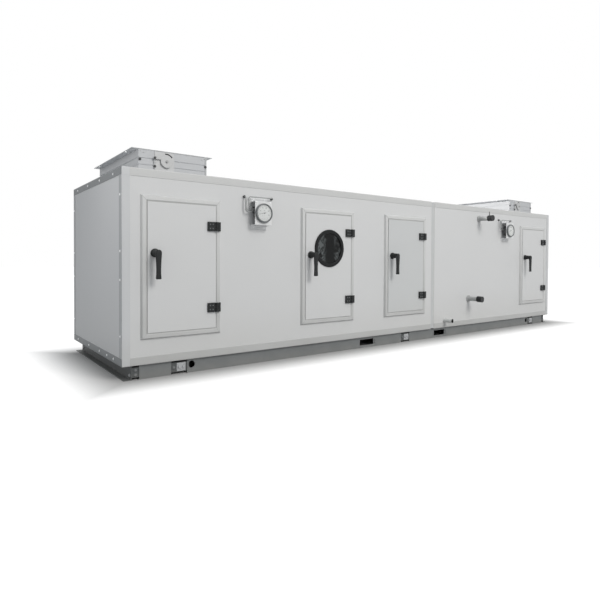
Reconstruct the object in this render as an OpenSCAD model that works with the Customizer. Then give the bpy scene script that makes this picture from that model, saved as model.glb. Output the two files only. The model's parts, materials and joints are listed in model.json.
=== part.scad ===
// Air handling unit: a panelled casing in two sections on a channel base, with four access doors,
// two roof dampers, two pressure gauges, capped coil pipes and a drain.
// Millimetres. +Z is up, +X runs along the length and the doors face -Y.
// The origin is on the floor, under the middle of the whole outline.

/* [Casing] */
// Length of the casing
casing_l = 4500; // [4000:1:5100]
// Depth of the casing, front face to back face
casing_d = 1120; // [1000:1:1300]
// Height of the casing above the base
casing_h = 1070; // [950:1:1250]
// Width of the edge profile that frames the casing
frame_w = 45; // [44:1:55]
// Radius of the outer edge of the edge profile
frame_r = 6; // [4:0.5:18]
// Thickness of the sandwich panels
panel_t = 42; // [40:0.5:42.5]
// Depth that the panels sit behind the edge profile
panel_recess = 2; // [1:0.5:2.5]
// Share of the length that the left section takes
left_share = 0.57; // [0.56:0.005:0.6]
// Width of the joint strip
seam_w = 45; // [30:1:60]
// Depth that the joint strip sits behind the edge profile
seam_recess = 6; // [3:0.5:12]

/* [Base] */
// Height of the base channels
base_h = 80; // [76:1:120]
// Thickness of the base channels
base_t = 4; // [3:0.5:6]
// Width of a base channel's flanges
base_flange = 45; // [35:1:60]
// Depth that the long channels sit behind the casing's faces
base_inset = 20; // [10:1:30]
// Depth that the end channels' flanges sit behind the casing's ends
base_end_inset = 15; // [5:1:25]
// Gap between an end channel's web and a long channel
corner_gap = 40; // [25:1:55]
// Place of the outer rail joints, from the casing's ends
joint_inset = 330; // [300:1:340]
// Gap between two lengths of rail at a joint
joint_gap = 96; // [80:1:104]
// Overlap of a splice or corner plate behind each rail
splice_lap = 15; // [8:1:18]
// Height of the splice plates
splice_h = 56; // [44:1:60]
// Width of the bright bracket in each rail joint
bracket_w = 54; // [40:1:66]
// Gap from the bright bracket to the rail on its right
bracket_gap = 9; // [5:1:12]
// Height of the bright brackets
bracket_h = 48; // [36:1:54]
// Place of the lifting holes, from the casing's ends
lift_inset = 406; // [404:1:450]
// Diameter of the lifting holes
lift_d = 41; // [30:0.5:44]
// Height of the lifting holes' middles above the floor
lift_up = 47; // [40:1:50]
// Distance from the middle of the base to each fork slot
slot_x = 430; // [300:1:600]
// Width of a fork slot
slot_w = 140; // [100:1:160]
// Height of a fork slot
slot_h = 43; // [30:1:50]

/* [Doors] */
// Width of a door frame over its outer edges
door_w = 480; // [460:1:490]
// Height of the door frames above the casing's underside
door_sill = 138; // [120:1:150]
// Height of the casing's top above the door frames
door_head = 142; // [130:1:160]
// Distance from the casing's left end to the middle of the first door
door_1_in = 340; // [300:1:350]
// Distance from the casing's left end to the middle of the second door
door_2_in = 1420; // [1390:1:1440]
// Distance from the joint back to the middle of the third door
door_3_back = 345; // [320:1:370]
// Distance from the casing's right end to the middle of the fourth door
door_4_in = 340; // [300:1:350]
// Distance that a door frame stands out from the panel
door_proud = 15; // [10:0.5:20]
// Width of a door frame's bevelled outer edge
door_bevel = 8; // [4:0.5:12]
// Width of a door frame from its outer edge to the doorway
door_face = 30; // [26:0.5:36]
// Width that a door frame laps over the panel
door_lap = 18; // [12:0.5:20]
// Chamfer on a door frame's inner edge
door_chamfer = 3; // [1:0.5:5]
// Width of the stop behind a door leaf
stop_w = 12; // [8:0.5:16]
// Gap around a door leaf
door_gap = 5.5; // [5:0.5:8]
// Thickness of a door leaf
leaf_t = 45; // [36:0.5:46]
// Thickness of a leaf's outer plate
leaf_plate_t = 12; // [6:0.5:14]
// Inset of a leaf's inner plug from its outer plate
plug_inset = 6; // [5:0.5:12]

/* [Hinges] */
// Height of a hinge
hinge_h = 54; // [50:1:80]
// Width of the half on the leaf, from the pin
hinge_leaf_w = 57; // [50:1:80]
// Width of the half on the frame, from the pin
hinge_frame_w = 24; // [20:0.5:26]
// Thickness of a hinge's halves
hinge_t = 12; // [8:0.5:13]
// Radius of a hinge's barrel
hinge_r = 9; // [7:0.5:10]
// Gap between a hinge's barrel and the door's face
hinge_lift = 1.5; // [1:0.5:3]
// Gap between the two halves of a hinge
hinge_gap = 1.5; // [1:0.5:2.5]
// Height of each knuckle on the frame half
knuckle_h = 15; // [10:0.5:20]
// Radius of a hinge pin
pin_r = 4; // [3:0.5:5]
// Distance from a door frame's ends to the middle of its hinges
hinge_inset = 157; // [110:1:200]

/* [Handles] */
// Distance from a door frame's free edge to its handle's pivot
handle_x = 75; // [62:1:85]
// Height of the handle's pivot above the door's middle
handle_up = 79; // [0:1:100]
// Radius of a handle's boss at the leaf
boss_r = 24; // [18:0.5:26]
// Distance that a boss stands out from the leaf
boss_l = 52; // [30:1:70]
// Radius of a handle's spindle
spindle_r = 9; // [6:0.5:12]
// Distance that a spindle stops short of the leaf's inner face
spindle_short = 5.5; // [2:0.5:10]
// Length of a lever below its pivot
lever_l = 143; // [100:1:170]
// Thickness of a lever
lever_t = 17; // [12:0.5:22]
// Half width of a lever at its pivot
lever_top_r = 17; // [15:0.5:18]
// Half width of a lever at its tip
lever_tip_r = 11; // [8:0.5:14]
// Running clearance at spindles, pins and shafts
run_fit = 0.3; // [0.2:0.05:0.5]

/* [Sight window] */
// Height of the window's middle above the door's middle
window_up = 125; // [100:1:150]
// Outer radius of the window's rim
window_r = 131; // [110:1:140]
// Width of the rim's face
window_rim_w = 26; // [22:0.5:32]
// Thickness of the rim's face
window_rim_t = 9; // [5:0.5:14]
// Bevel on both edges of the rim's face
window_bevel = 4; // [1:0.5:4.5]
// Radius of the hole that the window fills in the leaf
window_hole_r = 120; // [112:1:124]
// Wall of the window's sleeve
window_sleeve_t = 6; // [4:0.5:8]
// Thickness of the window's glass
glass_t = 8; // [5:0.5:12]

/* [Gauges] */
// Distance from the casing's left end to the middle of the first gauge
gauge_1_in = 850; // [800:1:880]
// Distance from the casing's right end to the middle of the second gauge
gauge_2_in = 857; // [800:1:880]
// Distance from the casing's top down to the gauges
gauge_down = 204; // [190:1:230]
// Outer radius of a gauge's rim
gauge_r = 60.5; // [58:0.5:61]
// Width of a gauge's rim
gauge_rim_w = 8; // [4:0.5:10]
// Distance that a gauge's rim stands out from its plate
gauge_rim_t = 16; // [10:0.5:24]
// Depth from a gauge's rim to its dial
dial_depth = 6; // [3:0.5:8]
// Radius of a gauge's body behind the plate
gauge_body_r = 50; // [44:0.5:54]
// Length of a gauge's body behind the plate
gauge_body_l = 46; // [40:0.5:50]
// Width of a gauge's mounting plate
plate_w = 122; // [116:1:130]
// Height of a gauge's mounting plate
plate_h = 146; // [130:1:150]
// Distance that a mounting plate's face stands out from the panel
plate_out = 58; // [54:0.5:64]
// Thickness of a mounting plate
plate_t = 2.5; // [2:0.5:4]
// Height of a mounting plate's feet
plate_foot = 25; // [15:1:30]
// Distance from a gauge's middle to its left tap
tap_left = 107; // [104:1:120]
// Distance from a gauge's middle to its right tap
tap_right = 94; // [85:1:110]
// Height of the taps above a gauge's middle
tap_up = 100; // [88:1:112]
// Radius of a tap
tap_r = 8; // [6:0.5:11]
// Outer radius of the pressure tubes
tube_r = 3.5; // [2.5:0.5:4.5]
// Radius of the bends in the pressure tubes
tube_bend = 14; // [10:0.5:16]
// Distance from the panel to the middle of the pressure tubes
tube_out = 24; // [20:0.5:30]
// Distance from a gauge's middle to the right tube's drop
tube_drop = 86; // [80:1:92]
// Height of the lower port above a gauge's middle
port_low = 6; // [0:0.5:12]
// Height of the upper port above a gauge's middle
port_high = 36; // [26:0.5:40]
// Radius of a gauge's ports
port_r = 6; // [5:0.5:8]

/* [Pipes] */
// Distance from the joint to the upper coil pipe
pipe_upper_on = 655; // [500:1:700]
// Distance from the casing's top down to the upper coil pipe
pipe_upper_down = 110; // [90:1:170]
// Distance from the joint to the lower coil pipe
pipe_lower_on = 503; // [350:1:650]
// Height of the lower coil pipe above the casing's underside
pipe_lower_z = 236; // [200:1:300]
// Outer radius of the coil pipes
pipe_r = 20; // [14:0.5:24]
// Wall of the coil pipes and the drain
pipe_wall = 4; // [2:0.5:6]
// Length of a coil pipe in front of the panel
pipe_l = 110; // [90:1:150]
// Radius of the collar where a coil pipe leaves the panel
collar_r = 29; // [27:0.5:34]
// Thickness of a collar
collar_t = 8; // [4:0.5:14]
// Radius of a pipe cap
cap_r = 26; // [24:0.5:32]
// Length of a pipe cap
cap_l = 46; // [40:1:60]
// Depth of a pipe cap's socket
cap_socket = 12; // [10:1:20]
// Radius of the vent on the upper cap
vent_r = 3; // [2:0.5:6]
// Height of the vent on the upper cap
vent_l = 32; // [15:1:40]
// Distance from the upper cap's mouth to its vent
vent_in = 10; // [8:0.5:20]
// Distance from the joint to the drain
drain_on = 164; // [100:1:300]
// Gap between the bottom rail and the drain
drain_gap = 1; // [0.5:0.5:20]
// Outer radius of the drain
drain_r = 18; // [14:0.5:20]
// Length of the drain in front of the panel
drain_l = 82; // [50:1:110]

/* [Dampers] */
// Distance from the casing's left end to the middle of the left damper
damper_left_in = 351; // [300:1:400]
// Distance from the casing's right end to the middle of the right damper
damper_right_in = 310; // [300:1:400]
// Length of a damper over its frame, front to back
damper_l = 820; // [700:1:900]
// Height of a damper above the roof
damper_h = 142; // [136:1:170]
// Thickness of a damper's frame
damper_wall = 16; // [12:0.5:22]
// Chord of a damper blade
blade_w = 90; // [80:1:94]
// Thickness of a damper blade at its shaft
blade_t = 18; // [15:0.5:24]
// Gap between damper blades, and from them to the frame
blade_gap = 6; // [5:0.5:8]
// Radius of the blade shafts
shaft_r = 6; // [4:0.5:7]
// Height of the blade shafts above the roof
shaft_up = 80; // [70:1:84]
// Metal over a shaft's blind end in a damper's frame
shaft_cover = 5; // [3:0.5:8]
// Gap between a shaft and the bottom of its blind hole
shaft_play = 1; // [0.5:0.5:2]
// Width of the duct flange along a damper's sides
flange_w = 38; // [30:1:50]
// Thickness of the duct flange
flange_t = 3; // [2:0.5:5]
// Diameter of the flange's bolt holes
flange_hole_d = 11; // [6:0.5:14]
// Distance from a damper's ends to its flange holes
flange_hole_in = 58; // [25:1:80]
// Width of the grooves around a damper's frame
groove_w = 4; // [2:0.5:6]
// Depth of the grooves around a damper's frame
groove_d = 3; // [1:0.5:5]
// Distance from a damper's top to its first groove
groove_top = 53; // [30:1:60]
// Distance from one groove to the next
groove_pitch = 38; // [20:1:50]

/* [Damper levers] */
// Width of a quadrant plate
quad_w = 118; // [110:1:150]
// Height of a quadrant plate
quad_h = 110; // [104:1:114]
// Thickness of a quadrant plate
quad_t = 3; // [2:0.5:5]
// Distance from a quadrant plate's left edge to the shaft
quad_in = 70; // [62:1:84]
// Radius of a quadrant's curved slot
quad_slot_r = 46; // [42:0.5:47]
// Width of a quadrant's curved slot
quad_slot_w = 7; // [4:0.5:8]
// Angle from level to the start of a quadrant's curved slot
quad_slot_from = 38; // [10:1:60]
// Angle that a quadrant's curved slot takes in
quad_slot_turn = 60; // [40:1:90]
// Radius of a lever's disc
disc_r = 36; // [28:0.5:37]
// Thickness of a damper lever
damper_lever_t = 6; // [4:0.5:10]
// Gap between a damper lever and its quadrant plate
damper_lever_gap = 5; // [5:0.5:8]
// Distance from the shaft to the end of a damper lever's arm
arm_l = 72; // [60:1:90]
// Width of a damper lever's arm
arm_w = 15; // [10:0.5:20]
// Height of a damper lever's arm above the shaft
arm_up = 15.5; // [10:0.5:18]

/* [Hidden] */
$fn = 48;
cut = 1;
blade_count = 4;
left_x = -casing_l / 2;
right_x = casing_l / 2;
seam_x = left_x + left_share * casing_l;
door_x = [left_x + door_1_in, left_x + door_2_in, seam_x - door_3_back, right_x - door_4_in];
window_door = 1;
gauge_x = [left_x + gauge_1_in, right_x - gauge_2_in];
gauge_z = casing_h - gauge_down;
tap_l = tube_out - tube_bend;
pipe_at = [[seam_x + pipe_upper_on, casing_h - pipe_upper_down], [seam_x + pipe_lower_on, pipe_lower_z]];
vented_pipe = 0;
drain_z = frame_w + drain_gap + drain_r;
damper_x = [left_x + damper_left_in, right_x - damper_right_in];

front_reach = pipe_l + cap_l - cap_socket - panel_recess;
casing_y = front_reach / 2;
spans = [[left_x + frame_w, seam_x - seam_w / 2], [seam_x + seam_w / 2, right_x - frame_w]];

web_x = right_x - base_end_inset - base_flange + base_t;
rail_end_x = web_x - base_t - corner_gap;
joint_x = right_x - joint_inset;
rail_spans = [[-rail_end_x, -joint_x - joint_gap / 2], [-joint_x + joint_gap / 2, -joint_gap / 2]];

door_h = casing_h - door_sill - door_head;
open_w = door_w - 2 * door_lap;
open_h = door_h - 2 * door_lap;
clear_w = door_w - 2 * door_face;
clear_h = door_h - 2 * door_face;
leaf_w = clear_w - 2 * door_gap;
leaf_h = clear_h - 2 * door_gap;
open_low = door_sill + door_lap;
open_high = open_low + open_h;
hinge_out = hinge_r + hinge_lift;

roof_z = casing_h - panel_recess;
damper_in_w = blade_count * blade_w + (blade_count + 1) * blade_gap;
damper_in_l = damper_l - 2 * damper_wall;
damper_w = damper_in_w + 2 * damper_wall;
blade_pitch = blade_w + blade_gap;
blade_l = damper_in_l - 2 * blade_gap;
blade_arc_r = (pow(blade_w / 2, 2) + pow(blade_t / 2, 2)) / blade_t;
drive_blade = 1;
lever_y = quad_t + damper_lever_gap;

// Places

module at_casing() translate([0, casing_y, base_h]) children();

module at_panel(x, z) at_casing() translate([x, panel_recess - casing_d / 2, z]) children();

module at_door(i) at_panel(door_x[i] - door_w / 2, door_sill) children();

module at_leaf(i)
  at_door(i) translate([door_face + door_gap, -door_proud, door_face + door_gap]) children();

module at_hinges(i)
  for (z = [hinge_inset, door_h - hinge_inset])
    at_door(i) translate([door_w - door_face - door_gap / 2, -door_proud - hinge_out, z]) children();

module at_damper(i) at_casing() translate([damper_x[i], 0, roof_z]) children();

module both_ends() for (m = [0, 1]) mirror([m, 0, 0]) children();

module both_faces() for (m = [0, 1]) mirror([0, m, 0]) children();

module floor_and_roof() for (m = [0, 1]) translate([0, 0, m * casing_h]) mirror([0, 0, m]) children();

// A cylinder that points out of the front
module outward(r1, l, r2 = undef)
  rotate([90, 0, 0]) cylinder(r1 = r1, r2 = is_undef(r2) ? r1 : r2, h = l);

// Base

module channel_profile() {
  square([base_t, base_h]);
  square([base_flange, base_t]);
  translate([0, base_h - base_t]) square([base_flange, base_t]);
}

module rail_length(x0, x1)
  translate([x0, 0, 0]) rotate([90, 0, 90]) linear_extrude(x1 - x0) channel_profile();

module base_rails()
  color("slategray")
    translate([0, casing_y, 0]) both_faces() both_ends()
      translate([0, base_inset - casing_d / 2, 0])
        difference() {
          for (s = rail_spans) rail_length(s[0], s[1]);
          translate([left_x + lift_inset, base_t + cut, lift_up])
            outward(lift_d / 2, base_t + 2 * cut);
          translate([-slot_x - slot_w / 2, -cut, (base_h - slot_h) / 2])
            cube([slot_w, base_t + 2 * cut, slot_h]);
        }

module base_ends()
  color("dimgray")
    translate([0, casing_y, 0]) both_ends()
      translate([-web_x, casing_d / 2, 0])
        rotate([90, 0, 0]) linear_extrude(casing_d - base_inset)
          translate([base_t, 0]) mirror([1, 0]) channel_profile();

module backing_plate(x0, x1)
  translate([x0, base_inset + base_t - casing_d / 2, (base_h - splice_h) / 2])
    cube([x1 - x0, base_t, splice_h]);

module base_corner_plates()
  color("dimgray")
    translate([0, casing_y, 0]) both_faces() both_ends()
      backing_plate(base_t - web_x, splice_lap - rail_end_x);

module base_splice_plates()
  color("dimgray")
    translate([0, casing_y, 0]) both_faces()
      for (x = [-joint_x, 0, joint_x])
        backing_plate(x - joint_gap / 2 - splice_lap, x + joint_gap / 2 + splice_lap);

module base_brackets()
  color("gainsboro")
    translate([0, casing_y, 0]) both_faces()
      for (x = [-joint_x, 0, joint_x])
        translate([x + joint_gap / 2 - bracket_gap - bracket_w, base_inset - casing_d / 2,
          (base_h - bracket_h) / 2])
          cube([bracket_w, base_t, bracket_h]);

// Edge profile of the casing

module edge_profile() {
  difference() {
    square(frame_w);
    square(frame_r);
  }
  intersection() {
    translate([frame_r, frame_r]) circle(frame_r);
    square(frame_r);
  }
}

module bar_x(l) rotate([90, 0, 90]) linear_extrude(l) edge_profile();

module bar_y(l) translate([0, l, 0]) rotate([90, 0, 0]) linear_extrude(l) edge_profile();

module bar_z(l) linear_extrude(l) edge_profile();

module corner_pieces()
  color("darkgray")
    at_casing() both_ends() both_faces() floor_and_roof()
      translate([left_x, -casing_d / 2, 0])
        intersection() {
          bar_x(frame_w);
          bar_y(frame_w);
          bar_z(frame_w);
        }

module corner_posts()
  color("darkgray")
    at_casing() both_ends() both_faces()
      translate([left_x, -casing_d / 2, frame_w]) bar_z(casing_h - 2 * frame_w);

module long_rails()
  color("lightgray")
    at_casing() both_faces() floor_and_roof()
      for (s = spans) translate([s[0], -casing_d / 2, 0]) bar_x(s[1] - s[0]);

module end_rails()
  color("darkgray")
    at_casing() both_ends() floor_and_roof()
      translate([left_x, frame_w - casing_d / 2, 0]) bar_y(casing_d - 2 * frame_w);

module seam_posts()
  color("gray")
    at_casing() both_faces()
      translate([seam_x - seam_w / 2, seam_recess - casing_d / 2, frame_w])
        cube([seam_w, frame_w - seam_recess, casing_h - 2 * frame_w]);

module seam_beams()
  color("gray")
    at_casing() floor_and_roof()
      translate([seam_x - seam_w / 2, seam_recess - casing_d / 2, seam_recess])
        cube([seam_w, casing_d - 2 * seam_recess, frame_w - seam_recess]);

// Panels

module front_slab(x0, x1, z0, z1) at_panel(x0, z0) cube([x1 - x0, panel_t, z1 - z0]);

function doorway_edges(span, doors) =
  [span[0], for (i = doors) each [door_x[i] - open_w / 2, door_x[i] + open_w / 2], span[1]];

module front_piers()
  color("gainsboro")
    for (e = [doorway_edges(spans[0], [0, 1, 2]), doorway_edges(spans[1], [3])])
      for (k = [0 : 2 : len(e) - 2]) front_slab(e[k], e[k + 1], open_low, open_high);

module front_headers()
  color("gainsboro")
    for (s = spans) front_slab(s[0], s[1], open_high, casing_h - frame_w);

module front_sills()
  color("gainsboro")
    for (s = spans) front_slab(s[0], s[1], frame_w, open_low);

module back_panels()
  color("gainsboro")
    at_casing()
      for (s = spans)
        translate([s[0], casing_d / 2 - panel_recess - panel_t, frame_w])
          cube([s[1] - s[0], panel_t, casing_h - 2 * frame_w]);

module end_panels()
  color("silver")
    at_casing() both_ends()
      translate([left_x + panel_recess, frame_w - casing_d / 2, frame_w])
        cube([panel_t, casing_d - 2 * frame_w, casing_h - 2 * frame_w]);

module flat_panel(s)
  translate([s[0], frame_w - casing_d / 2, 0]) cube([s[1] - s[0], casing_d - 2 * frame_w, panel_t]);

module roof_panel(i)
  color("gainsboro")
    difference() {
      at_casing() translate([0, 0, roof_z - panel_t]) flat_panel(spans[i]);
      at_damper(i) translate([-damper_in_w / 2, -damper_in_l / 2, -panel_t - cut])
        cube([damper_in_w, damper_in_l, panel_t + 2 * cut]);
    }

module floor_panels()
  color("gainsboro")
    at_casing() translate([0, 0, panel_recess])
      for (s = spans) flat_panel(s);

// Doors

// A slab against the panel whose outer edges are bevelled and mitred
module bevelled_slab(w, h, t, bevel)
  intersection() {
    linear_extrude(h) polygon([[0, 0], [w, 0], [w - bevel, -t], [bevel, -t]]);
    rotate([90, 0, 90]) linear_extrude(w) polygon([[0, 0], [0, h], [-t, h - bevel], [-t, bevel]]);
  }

module door_frame(i)
  color("silver")
    at_door(i)
      difference() {
        union() {
          bevelled_slab(door_w, door_h, door_proud, door_bevel);
          translate([door_lap, 0, door_lap]) cube([open_w, panel_t, open_h]);
        }
        translate([door_face, -door_proud - cut, door_face])
          cube([clear_w, leaf_t + door_gap + cut, clear_h]);
        translate([door_face + stop_w, -cut, door_face + stop_w])
          cube([clear_w - 2 * stop_w, panel_t + 2 * cut, clear_h - 2 * stop_w]);
        translate([door_face - door_chamfer, -door_proud, door_face - door_chamfer])
          mirror([0, 1, 0])
            bevelled_slab(clear_w + 2 * door_chamfer, clear_h + 2 * door_chamfer,
              door_chamfer, door_chamfer);
      }

module door_leaf(i)
  color("gainsboro")
    difference() {
      at_leaf(i) {
        cube([leaf_w, leaf_plate_t, leaf_h]);
        translate([plug_inset, leaf_plate_t, plug_inset])
          cube([leaf_w - 2 * plug_inset, leaf_t - leaf_plate_t, leaf_h - 2 * plug_inset]);
      }
      at_handle(i) translate([0, leaf_t + cut, 0]) outward(spindle_r + run_fit, leaf_t + 2 * cut);
      if (i == window_door)
        at_window() translate([0, leaf_t + cut, 0]) outward(window_hole_r, leaf_t + 2 * cut);
    }

module hinge_base() {
  translate([hinge_r + hinge_gap, hinge_out - hinge_t, -hinge_h / 2])
    cube([hinge_frame_w - hinge_r - hinge_gap, hinge_t, hinge_h]);
  for (z = [-hinge_h / 2, hinge_h / 2 - knuckle_h])
    translate([0, 0, z]) {
      cylinder(r = hinge_r, h = knuckle_h);
      translate([0, hinge_out - hinge_t, 0]) cube([hinge_r + hinge_gap, hinge_t - hinge_lift, knuckle_h]);
    }
  translate([0, 0, -hinge_h / 2]) cylinder(r = pin_r, h = hinge_h);
}

module hinge_bases()
  color("dimgray")
    for (i = [0 : len(door_x) - 1]) at_hinges(i) hinge_base();

module hinge_leaf() {
  middle_h = hinge_h - 2 * knuckle_h - 2 * hinge_gap;
  difference() {
    union() {
      translate([-hinge_leaf_w, hinge_out - hinge_t, -hinge_h / 2])
        cube([hinge_leaf_w - hinge_r - hinge_gap, hinge_t, hinge_h]);
      translate([0, 0, -middle_h / 2]) cylinder(r = hinge_r, h = middle_h);
      translate([-hinge_r - hinge_gap, hinge_out - hinge_t, -middle_h / 2])
        cube([hinge_r + hinge_gap, hinge_t - hinge_lift, middle_h]);
    }
    translate([0, 0, -hinge_h / 2]) cylinder(r = pin_r + run_fit, h = hinge_h);
  }
}

module door_hinges(i) color("dimgray") at_hinges(i) hinge_leaf();

module at_handle(i) at_door(i) translate([handle_x, -door_proud, door_h / 2 + handle_up]) children();

module lever_outline() {
  circle(lever_top_r);
  polygon([[-lever_top_r, 0], [lever_top_r, 0], [lever_tip_r, lever_tip_r - lever_l],
    [-lever_tip_r, lever_tip_r - lever_l]]);
  translate([0, lever_tip_r - lever_l]) circle(lever_tip_r);
}

module door_handle(i)
  color("dimgray")
    at_handle(i) {
      translate([0, leaf_t - spindle_short, 0]) outward(spindle_r, leaf_t - spindle_short + boss_l);
      translate([0, -run_fit, 0]) outward(boss_r, boss_l - run_fit, lever_top_r);
      translate([0, -boss_l, 0]) rotate([90, 0, 0]) linear_extrude(lever_t) lever_outline();
    }

// Sight window

module at_window()
  at_door(window_door) translate([door_w / 2, -door_proud, door_h / 2 + window_up]) children();

module window_rim()
  color("black")
    at_window() rotate([90, 0, 0])
      rotate_extrude() {
        translate([window_r - window_rim_w, 0])
          polygon([[0, 0], [window_rim_w, 0], [window_rim_w, window_rim_t - window_bevel],
            [window_rim_w - window_bevel, window_rim_t], [window_bevel, window_rim_t],
            [0, window_rim_t - window_bevel]]);
        translate([window_hole_r - window_sleeve_t, -leaf_t]) square([window_sleeve_t, leaf_t]);
      }

module window_glass()
  color("darkslategray")
    at_window() translate([0, glass_t, 0]) outward(window_hole_r - window_sleeve_t - run_fit, glass_t);

// Gauges

module plate_profile() {
  half = plate_h / 2;
  for (m = [0, 1])
    mirror([0, m]) {
      translate([0, half - plate_t]) square([plate_t, plate_foot + plate_t]);
      translate([0, half - plate_t]) square([plate_out, plate_t]);
    }
  translate([plate_out - plate_t, -half]) square([plate_t, plate_h]);
}

module gauge_plates()
  color("white")
    for (x = gauge_x)
      at_panel(x, gauge_z)
        difference() {
          translate([plate_w / 2, 0, 0]) rotate([90, 0, -90]) linear_extrude(plate_w) plate_profile();
          translate([0, plate_t - plate_out + cut, 0]) outward(gauge_body_r + run_fit, plate_t + 2 * cut);
        }

module gauge_ports(l)
  for (z = [port_low, port_high])
    translate([-l, -tube_out, z]) rotate([0, 90, 0]) cylinder(r = port_r, h = l);

module gauges()
  color("gray")
    for (x = gauge_x)
      at_panel(x, gauge_z) {
        translate([0, gauge_body_l - plate_out, 0]) outward(gauge_body_r, gauge_body_l);
        difference() {
          translate([0, -plate_out, 0]) outward(gauge_r, gauge_rim_t);
          translate([0, dial_depth - plate_out - gauge_rim_t, 0])
            outward(gauge_r - gauge_rim_w, dial_depth + cut);
        }
        gauge_ports(plate_w / 2);
      }

module gauge_taps()
  color("dimgray")
    for (x = gauge_x)
      at_panel(x, gauge_z + tap_up) {
        translate([-tap_left, 0, 0]) outward(tap_r, tap_l);
        translate([tap_right, 0, 0]) outward(tap_r, tap_l);
      }

// A quarter bend from straight down to the right, its start at the origin
module tube_elbow()
  translate([tube_bend, 0, 0]) rotate([90, 0, 0]) rotate([0, 0, 180])
    rotate_extrude(angle = 90) translate([tube_bend, 0]) circle(tube_r);

// A quarter bend from straight out of the panel to straight down, its start at the origin
module tap_elbow()
  translate([0, 0, -tube_bend]) rotate([180, -90, 0])
    rotate_extrude(angle = 90) translate([tube_bend, 0]) circle(tube_r);

module tube_down(x, z0, z1) translate([x, 0, z0]) cylinder(r = tube_r, h = z1 - z0);

module tube_across(x0, x1, z) translate([x0, 0, z]) rotate([0, 90, 0]) cylinder(r = tube_r, h = x1 - x0);

module gauge_tubes()
  color("lightgray")
    for (x = gauge_x)
      at_panel(x, gauge_z) translate([0, -tube_out, 0]) {
        translate([-tap_left, tube_bend, tap_up]) tap_elbow();
        tube_down(-tap_left, port_low + tube_bend, tap_up - tube_bend);
        translate([-tap_left, 0, port_low + tube_bend]) tube_elbow();
        tube_across(tube_bend - tap_left, -plate_w / 2, port_low);

        translate([tap_right, tube_bend, tap_up]) rotate([0, 90, 0]) tap_elbow();
        tube_across(tube_bend - tube_drop, tap_right - tube_bend, tap_up);
        translate([-tube_drop, 0, tap_up - tube_bend]) mirror([0, 0, 1]) tube_elbow();
        tube_down(-tube_drop, port_high + tube_bend, tap_up - tube_bend);
        translate([-tube_drop, 0, port_high + tube_bend]) tube_elbow();
        tube_across(tube_bend - tube_drop, -plate_w / 2, port_high);
      }

// Pipes

module coil_pipes()
  color("gray")
    for (p = pipe_at)
      at_panel(p[0], p[1])
        difference() {
          union() {
            outward(pipe_r, pipe_l);
            outward(collar_r, collar_t);
          }
          translate([0, -collar_t, 0]) outward(pipe_r - pipe_wall, pipe_l);
        }

module pipe_caps()
  color("dimgray")
    for (k = [0, 1])
      at_panel(pipe_at[k][0], pipe_at[k][1])
        translate([0, cap_socket - pipe_l, 0]) {
          difference() {
            outward(cap_r, cap_l);
            translate([0, cut, 0]) outward(pipe_r + run_fit, cap_socket + cut);
          }
          if (k == vented_pipe)
            translate([0, -vent_in, (cap_r + pipe_r) / 2])
              cylinder(r = vent_r, h = (cap_r - pipe_r) / 2 + vent_l);
        }

module drain_pipe()
  color("gray")
    at_panel(seam_x + drain_on, drain_z)
      difference() {
        outward(drain_r, drain_l);
        translate([0, -collar_t, 0]) outward(drain_r - pipe_wall, drain_l);
      }

// Dampers

module at_shaft(k) translate([(k - (blade_count - 1) / 2) * blade_pitch, 0, shaft_up]) children();

// A shaft from its blind end in the frame's back to one in the front, or out to the lever
module shaft_run(k, r, play) {
  back = damper_l / 2 - shaft_cover - play;
  front = k == drive_blade ? damper_l / 2 + lever_y : back;
  translate([0, back, 0]) outward(r, back + front);
}

module damper_groove(z)
  translate([0, 0, z - groove_w / 2])
    difference() {
      translate([-damper_w / 2 - cut, -damper_l / 2 - cut, 0])
        cube([damper_w + 2 * cut, damper_l + 2 * cut, groove_w]);
      translate([groove_d - damper_w / 2, groove_d - damper_l / 2, -cut])
        cube([damper_w - 2 * groove_d, damper_l - 2 * groove_d, groove_w + 2 * cut]);
    }

module damper_frame(i)
  color("gainsboro")
    at_damper(i)
      difference() {
        union() {
          translate([-damper_w / 2, -damper_l / 2, 0]) cube([damper_w, damper_l, damper_h]);
          translate([-damper_w / 2 - flange_w, -damper_l / 2, damper_h - flange_t])
            cube([damper_w + 2 * flange_w, damper_l, flange_t]);
        }
        translate([-damper_in_w / 2, -damper_in_l / 2, -cut])
          cube([damper_in_w, damper_in_l, damper_h + 2 * cut]);
        for (k = [0, 1]) damper_groove(damper_h - groove_top - k * groove_pitch);
        for (k = [0 : blade_count - 1]) at_shaft(k) shaft_run(k, shaft_r + run_fit, 0);
        both_ends() both_faces()
          translate([(damper_w + flange_w) / 2, damper_l / 2 - flange_hole_in, damper_h - flange_t - cut])
            cylinder(d = flange_hole_d, h = flange_t + 2 * cut);
      }

module blade_profile()
  intersection_for (m = [-1, 1])
    translate([0, m * (blade_arc_r - blade_t / 2)]) circle(blade_arc_r, $fn = 180);

module damper_blade(i, k)
  color("silver")
    at_damper(i) at_shaft(k) {
      translate([0, blade_l / 2, 0]) rotate([90, 0, 0]) linear_extrude(blade_l) blade_profile();
      shaft_run(k, shaft_r, shaft_play);
    }

module at_lever(i) at_damper(i) at_shaft(drive_blade) translate([0, -damper_l / 2, 0]) children();

module quadrant_plate() {
  slot_in = quad_slot_r - quad_slot_w / 2;
  slot_out = quad_slot_r + quad_slot_w / 2;
  difference() {
    translate([-quad_in, -quad_t, -quad_h / 2]) cube([quad_w, quad_t, quad_h]);
    translate([0, cut, 0]) outward(shaft_r + run_fit, quad_t + 2 * cut);
    translate([0, cut, 0]) rotate([90, 0, 0]) rotate([0, 0, quad_slot_from])
      rotate_extrude(angle = quad_slot_turn)
        translate([slot_in, 0]) square([slot_out - slot_in, quad_t + 2 * cut]);
  }
}

module quadrant_plates() color("whitesmoke") for (i = [0, 1]) at_lever(i) quadrant_plate();

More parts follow.
